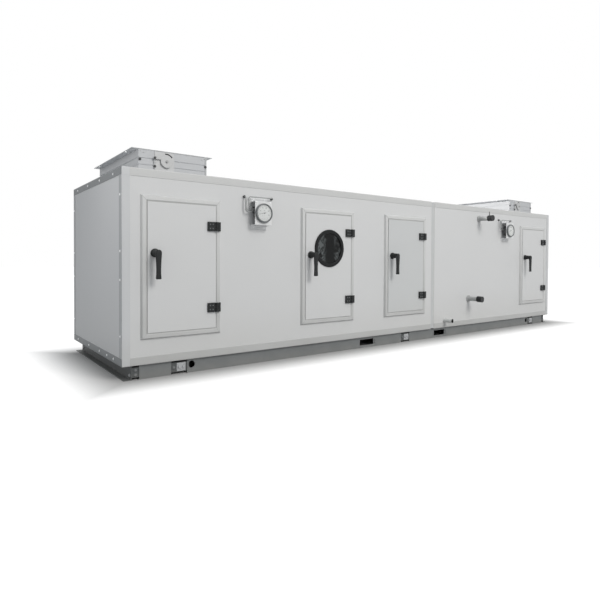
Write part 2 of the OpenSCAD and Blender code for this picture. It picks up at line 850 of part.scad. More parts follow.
module damper_lever(i)
  color("lightgray")
    at_lever(i) translate([0, -lever_y, 0]) rotate([90, 0, 0]) linear_extrude(damper_lever_t) {
      circle(disc_r);
      translate([-arm_l, arm_up - arm_w / 2]) square([arm_l, arm_w]);
      translate([-arm_l, arm_up]) circle(arm_w / 2);
    }

base_rails();
base_ends();
base_corner_plates();
base_splice_plates();
base_brackets();
corner_pieces();
corner_posts();
long_rails();
end_rails();
seam_posts();
seam_beams();
front_piers();
front_headers();
front_sills();
back_panels();
end_panels();
roof_panel(0);  // roof_panel_left
roof_panel(1);  // roof_panel_right
floor_panels();
door_frame(0);  // door_frame_1
door_frame(1);  // door_frame_2
door_frame(2);  // door_frame_3
door_frame(3);  // door_frame_4
hinge_bases();
door_leaf(0);  // door_leaf_1
door_leaf(1);  // door_leaf_2
door_leaf(2);  // door_leaf_3
door_leaf(3);  // door_leaf_4
door_hinges(0);  // door_hinges_1
door_hinges(1);  // door_hinges_2
door_hinges(2);  // door_hinges_3
door_hinges(3);  // door_hinges_4
door_handle(0);  // door_handle_1
door_handle(1);  // door_handle_2
door_handle(2);  // door_handle_3
door_handle(3);  // door_handle_4
window_rim();
window_glass();
gauge_plates();
gauges();
gauge_taps();
gauge_tubes();
coil_pipes();
pipe_caps();
drain_pipe();
damper_frame(0);  // damper_frame_left
damper_frame(1);  // damper_frame_right
quadrant_plates();
damper_blade(0, 0);  // damper_blade_left_1
damper_blade(0, 1);  // damper_blade_left_2
damper_blade(0, 2);  // damper_blade_left_3
damper_blade(0, 3);  // damper_blade_left_4
damper_blade(1, 0);  // damper_blade_right_1
damper_blade(1, 1);  // damper_blade_right_2
damper_blade(1, 2);  // damper_blade_right_3
damper_blade(1, 3);  // damper_blade_right_4
damper_lever(0);  // damper_lever_left
damper_lever(1);  // damper_lever_right
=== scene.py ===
import json
import math

import bmesh
import bpy
from mathutils import Matrix, Vector

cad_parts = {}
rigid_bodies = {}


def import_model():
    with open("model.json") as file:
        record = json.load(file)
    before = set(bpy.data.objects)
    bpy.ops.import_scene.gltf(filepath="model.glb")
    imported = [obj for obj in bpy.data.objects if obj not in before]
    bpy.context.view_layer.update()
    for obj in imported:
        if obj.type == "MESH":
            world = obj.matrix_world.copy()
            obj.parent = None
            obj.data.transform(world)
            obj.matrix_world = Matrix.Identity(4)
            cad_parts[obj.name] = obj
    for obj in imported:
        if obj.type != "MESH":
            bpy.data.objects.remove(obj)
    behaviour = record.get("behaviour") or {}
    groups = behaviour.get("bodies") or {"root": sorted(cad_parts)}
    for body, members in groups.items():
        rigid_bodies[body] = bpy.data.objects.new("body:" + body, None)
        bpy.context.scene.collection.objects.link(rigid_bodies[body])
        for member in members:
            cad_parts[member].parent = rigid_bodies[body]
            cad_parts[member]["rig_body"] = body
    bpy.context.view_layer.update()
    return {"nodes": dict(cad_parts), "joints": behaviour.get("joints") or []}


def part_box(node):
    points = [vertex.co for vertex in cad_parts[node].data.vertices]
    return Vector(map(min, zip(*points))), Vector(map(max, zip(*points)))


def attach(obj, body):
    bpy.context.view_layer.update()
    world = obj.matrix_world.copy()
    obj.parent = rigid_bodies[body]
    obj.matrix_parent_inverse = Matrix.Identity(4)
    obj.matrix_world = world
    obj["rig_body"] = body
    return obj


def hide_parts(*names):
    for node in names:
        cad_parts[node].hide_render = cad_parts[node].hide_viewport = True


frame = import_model()
scene = bpy.context.scene
scene.view_settings.view_transform = "Standard"

# Camera
# It stands off the unit's left front corner at about the height of the door handles,
# so that the long front runs away to the right and the left end shows in the shade.
PICTURE = 600
FOCAL = 490.4
HORIZON = 268.1
camera = bpy.data.objects.new("camera", bpy.data.cameras.new("camera"))
scene.collection.objects.link(camera)
scene.camera = camera
camera.data.lens = camera.data.sensor_width * FOCAL / PICTURE
camera.data.shift_y = (HORIZON - PICTURE / 2) / PICTURE
camera.location = (-3.036, -3.134, 0.657)
turn, tip, lean = math.radians(36.56), math.radians(-0.956), math.radians(0.251)
camera.rotation_euler = (Matrix.Rotation(-turn, 3, "Z") @ Matrix.Rotation(math.pi / 2 + tip, 3, "X")
                         @ Matrix.Rotation(lean, 3, "Z")).to_euler()

# Base channels
# Cold-formed steel channels in bolted lengths, with end channels across and backing plates
# at the corners and joints, all in dark grey paint that is scuffed and dusty low down.
GLOSS_SWING, RELIEF_DEEP, EDGE_ANGLE = 0.08, 0.001, 30


def tone(red, green, blue):
    """A colour as it is seen, made linear."""
    return tuple(((c / 255 + 0.055) / 1.055) ** 2.4 for c in (red, green, blue)) + (1.0,)


def set_inputs(made, **values):
    """Set a node's inputs by name, with an underscore for each space."""
    for name, value in values.items():
        made.inputs[name.replace("_", " ")].default_value = value
    return made


def new_node(tree, kind, **values):
    """A new node in a tree, with some of its inputs set."""
    return set_inputs(tree.nodes.new(kind), **values)


def maths(tree, operation, *values):
    """The result of a sum on numbers or on other nodes' outputs."""
    made = tree.nodes.new("ShaderNodeMath")
    made.operation = operation
    for socket, value in zip(made.inputs, values):
        if isinstance(value, (int, float)):
            socket.default_value = value
        else:
            tree.links.new(value, socket)
    return made.outputs["Value"]


def finish(name, colour, rough, metal=0.0, drift=0.05, patch=3.0, grain=500.0, relief=0.05, draw=(1, 1, 1),
           shine=0.5):
    """A surface with slow colour drift, a fine grain in its gloss and a shallow relief."""
    made = bpy.data.materials.new(name)
    made.use_nodes = True
    tree = made.node_tree
    link = tree.links.new
    skin = set_inputs(tree.nodes["Principled BSDF"], Metallic=metal, Specular_IOR_Level=shine)
    place = new_node(tree, "ShaderNodeTexCoord")
    run = new_node(tree, "ShaderNodeMapping", Scale=draw)
    link(place.outputs["Object"], run.inputs["Vector"])
    cloud = new_node(tree, "ShaderNodeTexNoise", Scale=patch, Detail=5)
    cloud.name = "cloud"
    link(run.outputs["Vector"], cloud.inputs["Vector"])
    blend = new_node(tree, "ShaderNodeMix")
    blend.name, blend.data_type = "blend", "RGBA"
    set_inputs(blend, A=[c * (1 - drift) for c in colour[:3]] + [1],
               B=[min(1, c * (1 + drift)) for c in colour[:3]] + [1])
    link(cloud.outputs["Fac"], blend.inputs["Factor"])
    link(blend.outputs["Result"], skin.inputs["Base Color"])
    fine = new_node(tree, "ShaderNodeTexNoise", Scale=grain, Detail=3)
    link(run.outputs["Vector"], fine.inputs["Vector"])
    gloss = new_node(tree, "ShaderNodeMapRange", To_Min=rough - GLOSS_SWING, To_Max=rough + GLOSS_SWING)
    link(fine.outputs["Fac"], gloss.inputs["Value"])
    link(gloss.outputs["Result"], skin.inputs["Roughness"])
    raised = new_node(tree, "ShaderNodeBump", Strength=relief, Distance=RELIEF_DEEP)
    link(fine.outputs["Fac"], raised.inputs["Height"])
    link(raised.outputs["Normal"], skin.inputs["Normal"])
    return made


def stain(made, colour, low, high, most):
    """Colour that fades out from one height to another, broken up by the drift: pale dust low on the base, a
    darkening towards the bottom on the light coats, and painted shade on the door frames and the ends.
    """
    tree = made.node_tree
    nodes, link = tree.nodes, tree.links.new
    place = new_node(tree, "ShaderNodeTexCoord")
    split = new_node(tree, "ShaderNodeSeparateXYZ")
    link(place.outputs["Object"], split.inputs["Vector"])
    fade = new_node(tree, "ShaderNodeMapRange", From_Min=low, From_Max=high, To_Min=most, To_Max=0)
    fade.interpolation_type = "SMOOTHSTEP"
    link(split.outputs["Z"], fade.inputs["Value"])
    over = new_node(tree, "ShaderNodeMix")
    over.data_type = "RGBA"
    set_inputs(over, B=colour)
    broken = maths(tree, "MULTIPLY", fade.outputs["Result"], nodes["cloud"].outputs["Fac"])
    link(broken, over.inputs["Factor"])
    link(nodes["blend"].outputs["Result"], over.inputs["A"])
    link(over.outputs["Result"], nodes["Principled BSDF"].inputs["Base Color"])


def soften(mesh, angle=35):
    """Smooth shading on a mesh, with the edges that turn by more than the angle kept sharp."""
    mesh.shade_smooth()
    mesh.set_sharp_from_angle(angle=math.radians(angle))
    return mesh


def add_piece(name, mesh, body, coat):
    """A mesh in its place as a piece that rides on a body."""
    piece = bpy.data.objects.new(name, mesh)
    scene.collection.objects.link(piece)
    mesh.materials.clear()
    mesh.materials.append(coat)
    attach(piece, body)
    return piece


def plain_mesh(piece):
    """The piece's mesh with its modifiers worked in."""
    made = bpy.data.meshes.new_from_object(piece.evaluated_get(bpy.context.evaluated_depsgraph_get()))
    piece.modifiers.clear()
    piece.data = made


def eased(node, radius, coat, steps=2, other_coat=None, other_faces=None):
    """A solid with its edges broken, as the made piece has.

    Faces that look one way may have another finish.
    """
    shape = bmesh.new()
    shape.from_mesh(frame["nodes"][node].data)
    bmesh.ops.remove_doubles(shape, verts=shape.verts, dist=2e-6)
    bmesh.ops.dissolve_limit(shape, angle_limit=0.01, verts=shape.verts, edges=shape.edges)
    mesh = bpy.data.meshes.new(node + "_eased")
    shape.to_mesh(mesh)
    shape.free()
    if "custom_normal" in mesh.attributes:
        mesh.attributes.remove(mesh.attributes["custom_normal"])
    piece = add_piece(node + "_eased", mesh, frame["nodes"][node]["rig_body"], coat)
    soften(mesh, EDGE_ANGLE)
    edge = piece.modifiers.new("edge", "BEVEL")
    edge.width, edge.segments = radius, steps
    edge.limit_method, edge.angle_limit = "ANGLE", math.radians(EDGE_ANGLE)
    edge.harden_normals = True
    plain_mesh(piece)
    if other_coat:
        piece.data.materials.append(other_coat)
        for face in piece.data.polygons:
            face.material_index = int(other_faces(face.normal))
    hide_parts(node)
    return piece


base_paint = finish("base_paint", tone(114, 117, 118), 0.5, drift=0.1, patch=9, grain=900, relief=0.08)
stain(base_paint, tone(150, 148, 143), 0.0, 0.07, 0.5)
# The end channels and the backing plates take a darker copy of the base paint: painted shade.
base_painted_shade = finish("base_paint_in_shade", tone(79, 82, 83), 0.55, drift=0.12, patch=9, grain=900, relief=0.08)
stain(base_painted_shade, tone(120, 118, 114), 0.0, 0.05, 0.4)
eased("base_rails", 0.001, base_paint)
eased("base_ends", 0.001, base_painted_shade)
eased("base_corner_plates", 0.001, base_painted_shade)
eased("base_splice_plates", 0.001, base_painted_shade)

# Bolts of the base
# Zinc-plated hex bolts on washers, some painted over with the base, screwed through the webs
# into the backing plates at the corners and joints. Each is turned a little differently, as a
# spanner leaves it.
FIXING_SIZES = ("Head Radius", "Head Height", "Crown Radius", "Crown Height", "Washer Radius",
                "Washer Height")


def fixing_rows():
    """Node tree: a washer and a head on every point, looking the way that the point's arrow says."""
    tree = bpy.data.node_groups.new("fixing_rows", "GeometryNodeTree")
    sockets = tree.interface
    sockets.new_socket("Points", in_out="INPUT", socket_type="NodeSocketGeometry")
    sockets.new_socket("Sides", in_out="INPUT", socket_type="NodeSocketInt")
    for size in FIXING_SIZES:
        sockets.new_socket(size, in_out="INPUT", socket_type="NodeSocketFloat")
    sockets.new_socket("Finish", in_out="INPUT", socket_type="NodeSocketMaterial")
    sockets.new_socket("Fixings", in_out="OUTPUT", socket_type="NodeSocketGeometry")
    nodes, links = tree.nodes, tree.links
    given, result = nodes.new("NodeGroupInput"), nodes.new("NodeGroupOutput")
    washer, head, crown = (nodes.new("GeometryNodeMeshCone") for _ in range(3))
    washer.inputs["Vertices"].default_value = 16
    for part, low, high, tall in ((washer, "Washer Radius", "Washer Radius", "Washer Height"),
                                  (head, "Head Radius", "Head Radius", "Head Height"),
                                  (crown, "Head Radius", "Crown Radius", "Crown Height")):
        links.new(given.outputs[low], part.inputs["Radius Bottom"])
        links.new(given.outputs[high], part.inputs["Radius Top"])
        links.new(given.outputs[tall], part.inputs["Depth"])
    for part in (head, crown):
        links.new(given.outputs["Sides"], part.inputs["Vertices"])
    joined = nodes.new("GeometryNodeJoinGeometry")
    links.new(washer.outputs["Mesh"], joined.inputs["Geometry"])
    low = given.outputs["Washer Height"]
    for part, lift in ((head, low), (crown, maths(tree, "ADD", low, given.outputs["Head Height"]))):
        up = nodes.new("ShaderNodeCombineXYZ")
        links.new(lift, up.inputs["Z"])
        moved = nodes.new("GeometryNodeTransform")
        links.new(part.outputs["Mesh"], moved.inputs["Geometry"])
        links.new(up.outputs["Vector"], moved.inputs["Translation"])
        links.new(moved.outputs["Geometry"], joined.inputs["Geometry"])
    arrow = nodes.new("GeometryNodeInputNamedAttribute")
    arrow.data_type = "FLOAT_VECTOR"
    arrow.inputs["Name"].default_value = "arrow"
    aimed = nodes.new("FunctionNodeAlignRotationToVector")
    aimed.axis = "Z"
    links.new(arrow.outputs["Attribute"], aimed.inputs["Vector"])
    any_turn = nodes.new("FunctionNodeRandomValue")
    any_turn.data_type = "FLOAT"
    any_turn.inputs["Max"].default_value = math.tau
    any_turn.inputs["Seed"].default_value = 11
    about = nodes.new("FunctionNodeAxisAngleToRotation")
    about.inputs["Axis"].default_value = (0, 0, 1)
    links.new(any_turn.outputs["Value"], about.inputs["Angle"])
    twisted = nodes.new("FunctionNodeRotateRotation")
    twisted.rotation_space = "LOCAL"
    links.new(aimed.outputs["Rotation"], twisted.inputs["Rotation"])
    links.new(about.outputs["Rotation"], twisted.inputs["Rotate By"])
    placed = nodes.new("GeometryNodeInstanceOnPoints")
    links.new(given.outputs["Points"], placed.inputs["Points"])
    links.new(joined.outputs["Geometry"], placed.inputs["Instance"])
    links.new(twisted.outputs["Rotation"], placed.inputs["Rotation"])
    real, coated = nodes.new("GeometryNodeRealizeInstances"), nodes.new("GeometryNodeSetMaterial")
    links.new(placed.outputs["Instances"], real.inputs["Geometry"])
    links.new(real.outputs["Geometry"], coated.inputs["Geometry"])
    links.new(given.outputs["Finish"], coated.inputs["Material"])
    links.new(coated.outputs["Geometry"], result.inputs["Fixings"])
    return tree


fixings = fixing_rows()


def node_rows(piece, tree, values):
    """Run a node tree on a piece, with values for its inputs by name, and keep what it makes."""
    rows = piece.modifiers.new("rows", "NODES")
    rows.node_group = tree
    for socket in tree.interface.items_tree:
        if socket.in_out == "INPUT" and socket.name in values:
            rows[socket.identifier] = values[socket.name]
    plain_mesh(piece)


def fix(name, places, body, coat, kind):
    """Screws or bolts of one kind at (point, arrow) places on one body."""
    mesh = bpy.data.meshes.new(name)
    mesh.from_pydata([p for p, _ in places], [], [])
    arrows = mesh.attributes.new("arrow", "FLOAT_VECTOR", "POINT")
    arrows.data.foreach_set("vector", [c for _, a in places for c in a])
    piece = bpy.data.objects.new(name, mesh)
    scene.collection.objects.link(piece)
    node_rows(piece, fixings, {**kind, "Finish": coat})
    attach(piece, body)


def kind_of(sides, *sizes):
    """A kind of fixing by its number of sides and its sizes in millimetres, in the order above."""
    return {"Sides": sides, **{name: size / 1000 for name, size in zip(FIXING_SIZES, sizes)}}


HEX_BOLT = kind_of(6, 7, 4.5, 5.5, 0.8, 9, 1.2)
PAN_SCREW = kind_of(14, 5.5, 1.6, 2.6, 1.9, 7, 0.6)
SMALL_SCREW = kind_of(12, 4, 1.2, 2, 1.3, 4.4, 0.3)
OUT, BACK, LEFT, RIGHT, DOWN = (0, -1, 0), (0, 1, 0), (-1, 0, 0), (1, 0, 0), (0, 0, -1)
WEB_IN, WEB_BOLT_Y, WEB_BOLT_Z = 0.041, 0.022, 0.024
CORNER_BOLT_X, CORNER_BOLT_Z = 0.024, (0.027, 0.053)
RAIL_JOINTS, RAIL_MIDDLE = (-1.92, 0, 1.92), 0.04
SPLICE_BOLT_X, BRACKET_BOLT_X = 0.032, (-0.001, 0.025)
FORK_SLOTS, SLOT_BOLT_X, SLOT_BOLT_Z = (-0.43, 0.43), 0.088, (0.03, 0.05)
zinc = finish("zinc", tone(176, 178, 180), 0.42, metal=0.2, drift=0.14, patch=60, grain=900)
rail_lo, rail_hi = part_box("base_rails")
end_lo, end_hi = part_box("base_ends")
plate_lo, plate_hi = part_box("base_corner_plates")
base_bolts, painted_bolts = [], []
for face_y, plate_y, inward, arrow in ((rail_lo.y, plate_lo.y, 1, OUT), (rail_hi.y, plate_hi.y, -1, BACK)):
    for end_x, side in ((end_lo.x, -1), (end_hi.x, 1)):
        web_x = end_x - side * WEB_IN
        base_bolts.append(((web_x, face_y + inward * WEB_BOLT_Y, WEB_BOLT_Z), (side, 0, 0)))
        painted_bolts += [((web_x - side * CORNER_BOLT_X, plate_y, z), arrow) for z in CORNER_BOLT_Z]
    for joint_x in RAIL_JOINTS:
        painted_bolts.append(((joint_x - SPLICE_BOLT_X, plate_y, RAIL_MIDDLE), arrow))
        base_bolts += [((joint_x + x, face_y, RAIL_MIDDLE), arrow) for x in BRACKET_BOLT_X]
    for slot_x in FORK_SLOTS:
        painted_bolts += [((slot_x + SLOT_BOLT_X, face_y, z), arrow) for z in SLOT_BOLT_Z]
fix("base_bolts", base_bolts, "casing", zinc, HEX_BOLT)
fix("base_painted_bolts", painted_bolts, "casing", base_paint, HEX_BOLT)

# Joint brackets of the base
# Bright zinc-plated plates, one in each rail joint, that tie two lengths of rail together.
# Each has a folded lip along its lower edge and a pressed V that stiffens it.
bracket_lo, bracket_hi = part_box("base_brackets")
eased("base_brackets", 0.0008, zinc)


def from_faces(name, points, faces):
    """A mesh from its points and faces, with its faces turned outwards."""
    shape = bmesh.new()
    corners = [shape.verts.new(p) for p in points]
    for face in faces:
        shape.faces.new([corners[i] for i in face])
    bmesh.ops.recalc_face_normals(shape, faces=shape.faces)
    mesh = bpy.data.meshes.new(name)
    shape.to_mesh(mesh)
    shape.free()
    return mesh


def swept(name, rings, closed=False):
    """A skin over rings of points, capped at its ends unless the rings run round in a loop."""
    count = len(rings[0])
    points = [p for ring in rings for p in ring]
    spans = len(rings) if closed else len(rings) - 1
    faces = []
    for r in range(spans):
        a, b = r * count, (r + 1) % len(rings) * count
        faces += [(a + i, a + (i + 1) % count, b + (i + 1) % count, b + i) for i in range(count)]
    if not closed:
        faces += [tuple(range(count)), tuple(range(len(points) - count, len(points)))]
    return from_faces(name, points, faces)


def gather(name, meshes):
    """Several meshes as one."""
    shape = bmesh.new()
    for mesh in meshes:
        shape.from_mesh(mesh)
    whole = bpy.data.meshes.new(name)
    shape.to_mesh(whole)
    shape.free()
    return whole


RIB_W, RIB_OUT, RIB_X, RIB_HALF, RIB_TOP, RIB_LOW = 0.005, 0.0018, 0.012, 0.02, 0.057, 0.024
ribs = []
for face_y, outward in ((bracket_lo.y, -1), (bracket_hi.y, 1)):
    rib_y = face_y + outward * RIB_OUT
    for joint_x in RAIL_JOINTS:
        middle = joint_x + RIB_X
        rings = []
        for x, z in ((middle - RIB_HALF, RIB_TOP), (middle, RIB_LOW), (middle + RIB_HALF, RIB_TOP)):
            rings.append([(x - RIB_W, face_y, z), (x - RIB_W / 3, rib_y, z), (x + RIB_W / 3, rib_y, z),
                          (x + RIB_W, face_y, z)])
        ribs.append(swept("rib", rings))
add_piece("bracket_ribs", gather("bracket_ribs", ribs), "casing", zinc)

# Casing frame
# Folded sheet profiles with a rounded outer edge and cast corner pieces. The front and back
# carry the panels' light coat; the end faces show the bare galvanised flange.
panel_coat = finish("panel_coat", tone(207, 208, 209), 0.52, drift=0.012, patch=1.3, grain=700, relief=0.03)
stain(panel_coat, tone(190, 189, 185), 0.08, 0.45, 0.45)
frame_coat = finish("frame_coat", tone(198, 200, 202), 0.5, drift=0.015, patch=2, grain=700, relief=0.03)
stain(frame_coat, tone(175, 175, 172), 0.08, 0.3, 0.5)
rail_coat = finish("rail_coat", tone(195, 196, 196), 0.5, drift=0.015, patch=2, grain=700, relief=0.03)
stain(rail_coat, tone(150, 150, 147), 0.08, 0.3, 0.6)
end_flange = finish("end_flange", tone(108, 112, 115), 0.5, metal=0.1, drift=0.08, patch=14, grain=300)
post_flange = finish("post_flange", tone(155, 158, 161), 0.5, metal=0.1, drift=0.06, patch=14, grain=300)
SQUARE_ON = 0.75


def at_end(normal):
    """True for a face that looks along the unit."""
    return abs(normal.x) > SQUARE_ON


eased("corner_posts", 0.0006, frame_coat, other_coat=post_flange, other_faces=at_end)
for node in ("end_rails", "corner_pieces"):
    eased(node, 0.0006, frame_coat, other_coat=end_flange, other_faces=at_end)
eased("long_rails", 0.0006, rail_coat)
rim_lo, rim_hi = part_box("corner_pieces")
# Screws on the end faces: how far in from the edge, and their places up the posts and along the rails.
BAND = 0.024
FRONT_POST, BACK_POST = (0.163, 0.466, 0.62, 0.921), (0.155, 0.455, 0.619, 0.915)
TOP_RAIL, LOW_RAIL = (0.151, 0.43, 0.71, 0.983), (0.148, 0.277, 0.439, 0.692, 0.983)
end_screws = []
for end_x, arrow in ((rim_lo.x, LEFT), (rim_hi.x, RIGHT)):
    for y, heights in ((rim_lo.y + BAND, FRONT_POST), (rim_hi.y - BAND, BACK_POST)):
        end_screws += [((end_x, y, rim_lo.z + z), arrow) for z in heights]
    for z, places in ((rim_hi.z - BAND, TOP_RAIL), (rim_lo.z + BAND, LOW_RAIL)):
        end_screws += [((end_x, rim_lo.y + y, z), arrow) for y in places]
# The screws are near white, lighter than their zinc: partly a painted highlight, the glint on their heads.
glint_white_screw = finish("screw_glint_white", tone(240, 241, 242), 0.3, metal=0.4, drift=0.05, patch=80, grain=900)
fix("end_screws", end_screws, "casing", glint_white_screw, PAN_SCREW)

# Joint between the sections
# A flat strip over the gasket where the two sections are bolted together, a shade darker
# than the panels and a little behind the frame. A smoothed line of grey sealant fills the
# corner along both its edges. Over the roof the strip is dulled by dust.
seam_coat = finish("seam_coat", tone(190, 192, 193), 0.5, drift=0.03, patch=6, grain=600)
dusty_seam = finish("dusty_seam", tone(190, 192, 193), 0.8, drift=0.03, patch=6, grain=600, shine=0.08)
eased("seam_posts", 0.001, seam_coat)
eased("seam_beams", 0.001, dusty_seam)
SEALANT = ((-0.0004, -0.0005), (-0.0004, 0.0037), (0.0022, 0.002), (0.0075, 0.0003), (0.0075, -0.0005))
sealant = finish("sealant", tone(197, 198, 198), 0.6, drift=0.03, patch=12, grain=500)
strip_lo, strip_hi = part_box("seam_posts")
beam_lo, beam_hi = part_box("seam_beams")
lines = []
for face_y, out in ((strip_lo.y, -1), (strip_hi.y, 1)):
    for edge_x, inward in ((strip_lo.x, 1), (strip_hi.x, -1)):
        rings = [[(edge_x + inward * on, face_y + out * up, z) for on, up in SEALANT]
                 for z in (beam_lo.z, beam_hi.z)]
        lines.append(swept("line", rings))
add_piece("seam_sealant", gather("seam_sealant", lines), "casing", sealant)

# Panels
# Sandwich panels: coated sheet steel on both sides of a foam core, pushed into the frame and
# held by its lips. The coat is smooth and satin, with a faint roller texture. The ends take a
# darker copy of the coat as painted shade, and the roof is dulled by settled dust.
# The ends take a darker copy of the panel coat, darker still towards the bottom: painted shade.
end_painted_shade_coat = finish("end_painted_shade_coat", tone(191, 193, 196), 0.52, drift=0.015, patch=1.3, grain=700, relief=0.03)
stain(end_painted_shade_coat, tone(180, 181, 180), 0.08, 0.6, 0.5)
roof_coat = finish("roof_coat", tone(205, 206, 206), 0.8, drift=0.025, patch=1.3, grain=700, relief=0.03,
                   shine=0.08)
LIGHT_PANELS = ("front_piers", "front_headers", "front_sills", "back_panels", "floor_panels")
for coat, panels in ((panel_coat, LIGHT_PANELS), (end_painted_shade_coat, ("end_panels",)),
                     (roof_coat, ("roof_panel_left", "roof_panel_right"))):
    for panel in panels:
        coats = frame["nodes"][panel].data.materials
        coats.clear()
        coats.append(coat)

# Door frames
# Extruded aluminium with bevelled edges, satin anodised, mitred at the corners and clipped
# over the panel's edge, and darker towards the bottom as painted shade. A black bulb seal
# sits on the stop behind the leaf, and a grey lip closes most of the gap round it; the lip's
# grey is painted shade, the tone of the shaded gap.
DOORS = (1, 2, 3, 4)
SEAL_IN, SEAL_W, SEAL_OUT, SEAL_FOOT, BULB_STEPS = 0.036, 0.0045, 0.0042, 0.0008, 8
STOP_BACK = 0.0505
LIP_FROM, LIP_TO, LIP_DEEP, LIP_T, LIP_SLOPE = 0.0299, 0.0345, 0.0032, 0.0025, 0.0006
MITRE, MITRE_HALF, MITRE_LIFT = ((0.0004, 0.0145), (0.008, 0.0), (0.0268, 0.0)), 0.0005, 0.0002
door_profile = finish("door_profile", tone(201, 202, 202), 0.5, metal=0.06, drift=0.03, patch=5, grain=260,
                      relief=0.04)
# The frames darken towards the bottom: painted shade.
stain(door_profile, tone(160, 161, 160), 0.2, 1.0, 0.8)
rubber = finish("rubber_seal", tone(34, 34, 35), 0.65, drift=0.1, patch=40, grain=900, relief=0.1, shine=0.25)
# The lip's grey is painted shade: the tone of the shaded gap round the leaf.
gap_shade_grey = finish("gap_shade_grey", tone(182, 183, 182), 0.6, drift=0.08, patch=30, grain=900, relief=0.08)
joint_line = finish("mitre_line", tone(150, 152, 153), 0.6, drift=0.1, patch=60)


def ring_round(name, lo, hi, profile):
    """A closed profile of (inset, y) points, swept round an upright rectangle with mitred corners."""
    corners = ((lo.x, 1, lo.z, 1), (hi.x, -1, lo.z, 1), (hi.x, -1, hi.z, -1), (lo.x, 1, hi.z, -1))
    rings = [[(x + sx * inset, y, z + sz * inset) for inset, y in profile] for x, sx, z, sz in corners]
    return swept(name, rings, closed=True)


for n in DOORS:
    eased(f"door_frame_{n}", 0.0012, door_profile)
    lo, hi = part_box(f"door_frame_{n}")
    stop_y = lo.y + STOP_BACK
    bulb = [(SEAL_IN - SEAL_W, stop_y)]
    for step in range(BULB_STEPS + 1):
        angle = math.pi * step / BULB_STEPS
        rise = SEAL_FOOT + (SEAL_OUT - SEAL_FOOT) * math.sin(angle)
        bulb.append((SEAL_IN - SEAL_W * math.cos(angle), stop_y - rise))
    bulb.append((SEAL_IN + SEAL_W, stop_y))
    seal = soften(ring_round(f"door_seal_{n}", lo, hi, bulb), 40)
    add_piece(f"door_seal_{n}", seal, "casing", rubber)
    lip_y = lo.y + LIP_DEEP
    lip = [(LIP_FROM, lip_y), (LIP_TO, lip_y + LIP_SLOPE), (LIP_TO, lip_y + LIP_T), (LIP_FROM, lip_y + LIP_T)]
    lip_mesh = ring_round(f"door_lip_{n}", lo, hi, lip)
    add_piece(f"door_lip_{n}", lip_mesh, "casing", gap_shade_grey)
    lift = Vector((0, -MITRE_LIFT, 0))
    lines = []
    for x, sx in ((lo.x, 1), (hi.x, -1)):
        for z, sz in ((lo.z, 1), (hi.z, -1)):
            side = Vector((sx, 0, -sz)).normalized() * MITRE_HALF
            rings = []
            for inset, deep in MITRE:
                at = Vector((x + sx * inset, lo.y + deep, z + sz * inset))
                rings.append([at - side + lift, at + side + lift, at + side - 3 * lift, at - side - 3 * lift])
            lines.append(swept("mitre", rings))
    add_piece(f"door_mitres_{n}", gather(f"door_mitres_{n}", lines), "casing", joint_line)

# Door leaves
# The same coated sandwich as the panels, folded round at the edges so that the face lies
# flush with the frame. The third leaf is a shade greyer than the others.
greyer_coat = finish("greyer_coat", tone(197, 199, 200), 0.52, drift=0.012, patch=1.3, grain=700, relief=0.03)
stain(greyer_coat, tone(182, 181, 177), 0.08, 0.45, 0.55)
GREYER_LEAF = 3
for n in DOORS:
    eased(f"door_leaf_{n}", 0.0015, greyer_coat if n == GREYER_LEAF else panel_coat)

# Hinges
# Moulded black nylon hinges in two halves on a steel pin. The wide half is screwed to the
# leaf with four small screws, and the narrow half clips over the frame.
black_plastic = finish("black_plastic", tone(38, 40, 41), 0.5, drift=0.12, patch=25, grain=1400, relief=0.14,
                       shine=0.2)
dull_steel = finish("dull_steel", tone(92, 95, 96), 0.45, metal=0.3, drift=0.1, patch=80, grain=900)
eased("hinge_bases", 0.002, black_plastic, steps=3)
HINGE_PLATE, SCREW_NEAR, SCREW_FAR, SCREW_UP = 0.012, 0.026, 0.044, 0.012
HINGE_IN, HINGE_HALF = 0.157, 0.027
PIN_CAP = kind_of(16, 5, 0.6, 3.5, 0.6, 5.4, 0.4)
joint_at = {j["name"]: Vector(j["pos_m"]) for j in frame["joints"]}
for n in DOORS:
    eased(f"door_hinges_{n}", 0.002, black_plastic, steps=3)
    lo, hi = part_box(f"door_frame_{n}")
    pin = joint_at[f"door_{n}_hinge"]
    heights = (lo.z + HINGE_IN, hi.z - HINGE_IN)
    heads = [((pin.x - x, lo.y - HINGE_PLATE, z + up), OUT) for z in heights
             for x in (SCREW_NEAR, SCREW_FAR) for up in (-SCREW_UP, SCREW_UP)]
    fix(f"hinge_screws_{n}", heads, f"door_{n}", dull_steel, SMALL_SCREW)
    caps = [((pin.x, pin.y, z + side * HINGE_HALF), (0, 0, side)) for z in heights for side in (-1, 1)]
    fix(f"hinge_pins_{n}", caps, "casing", zinc, PIN_CAP)

# Handles
# Black glass-filled nylon levers on a stepped boss, turned by hand to draw the latch. The
# lever is crowned, widest at the boss, waisted, and nearly square at its tip.
# The boss as (distance from the leaf, radius), and the lever as (height, share of width, share of depth).
BOSS = ((0.0003, 0.0), (0.0003, 0.023), (0.0012, 0.024), (0.0095, 0.024), (0.011, 0.023), (0.0115, 0.021),
        (0.016, 0.0205), (0.032, 0.0185), (0.05, 0.017), (0.06, 0.0165))
LEVER_NEAR, LEVER_FAR = 0.050, 0.069
LEVER = ((0.0172, 0.10, 0.35), (0.0165, 0.34, 0.62), (0.0145, 0.62, 0.84), (0.009, 0.88, 0.97),
         (0.0, 1.0, 1.0), (-0.012, 0.98, 1.0), (-0.03, 0.9, 0.96), (-0.055, 0.82, 0.9),
         (-0.085, 0.74, 0.86), (-0.112, 0.76, 0.84), (-0.13, 0.84, 0.83), (-0.1385, 0.88, 0.82),
         (-0.1412, 0.83, 0.76), (-0.1428, 0.68, 0.6), (-0.143, 0.5, 0.42))
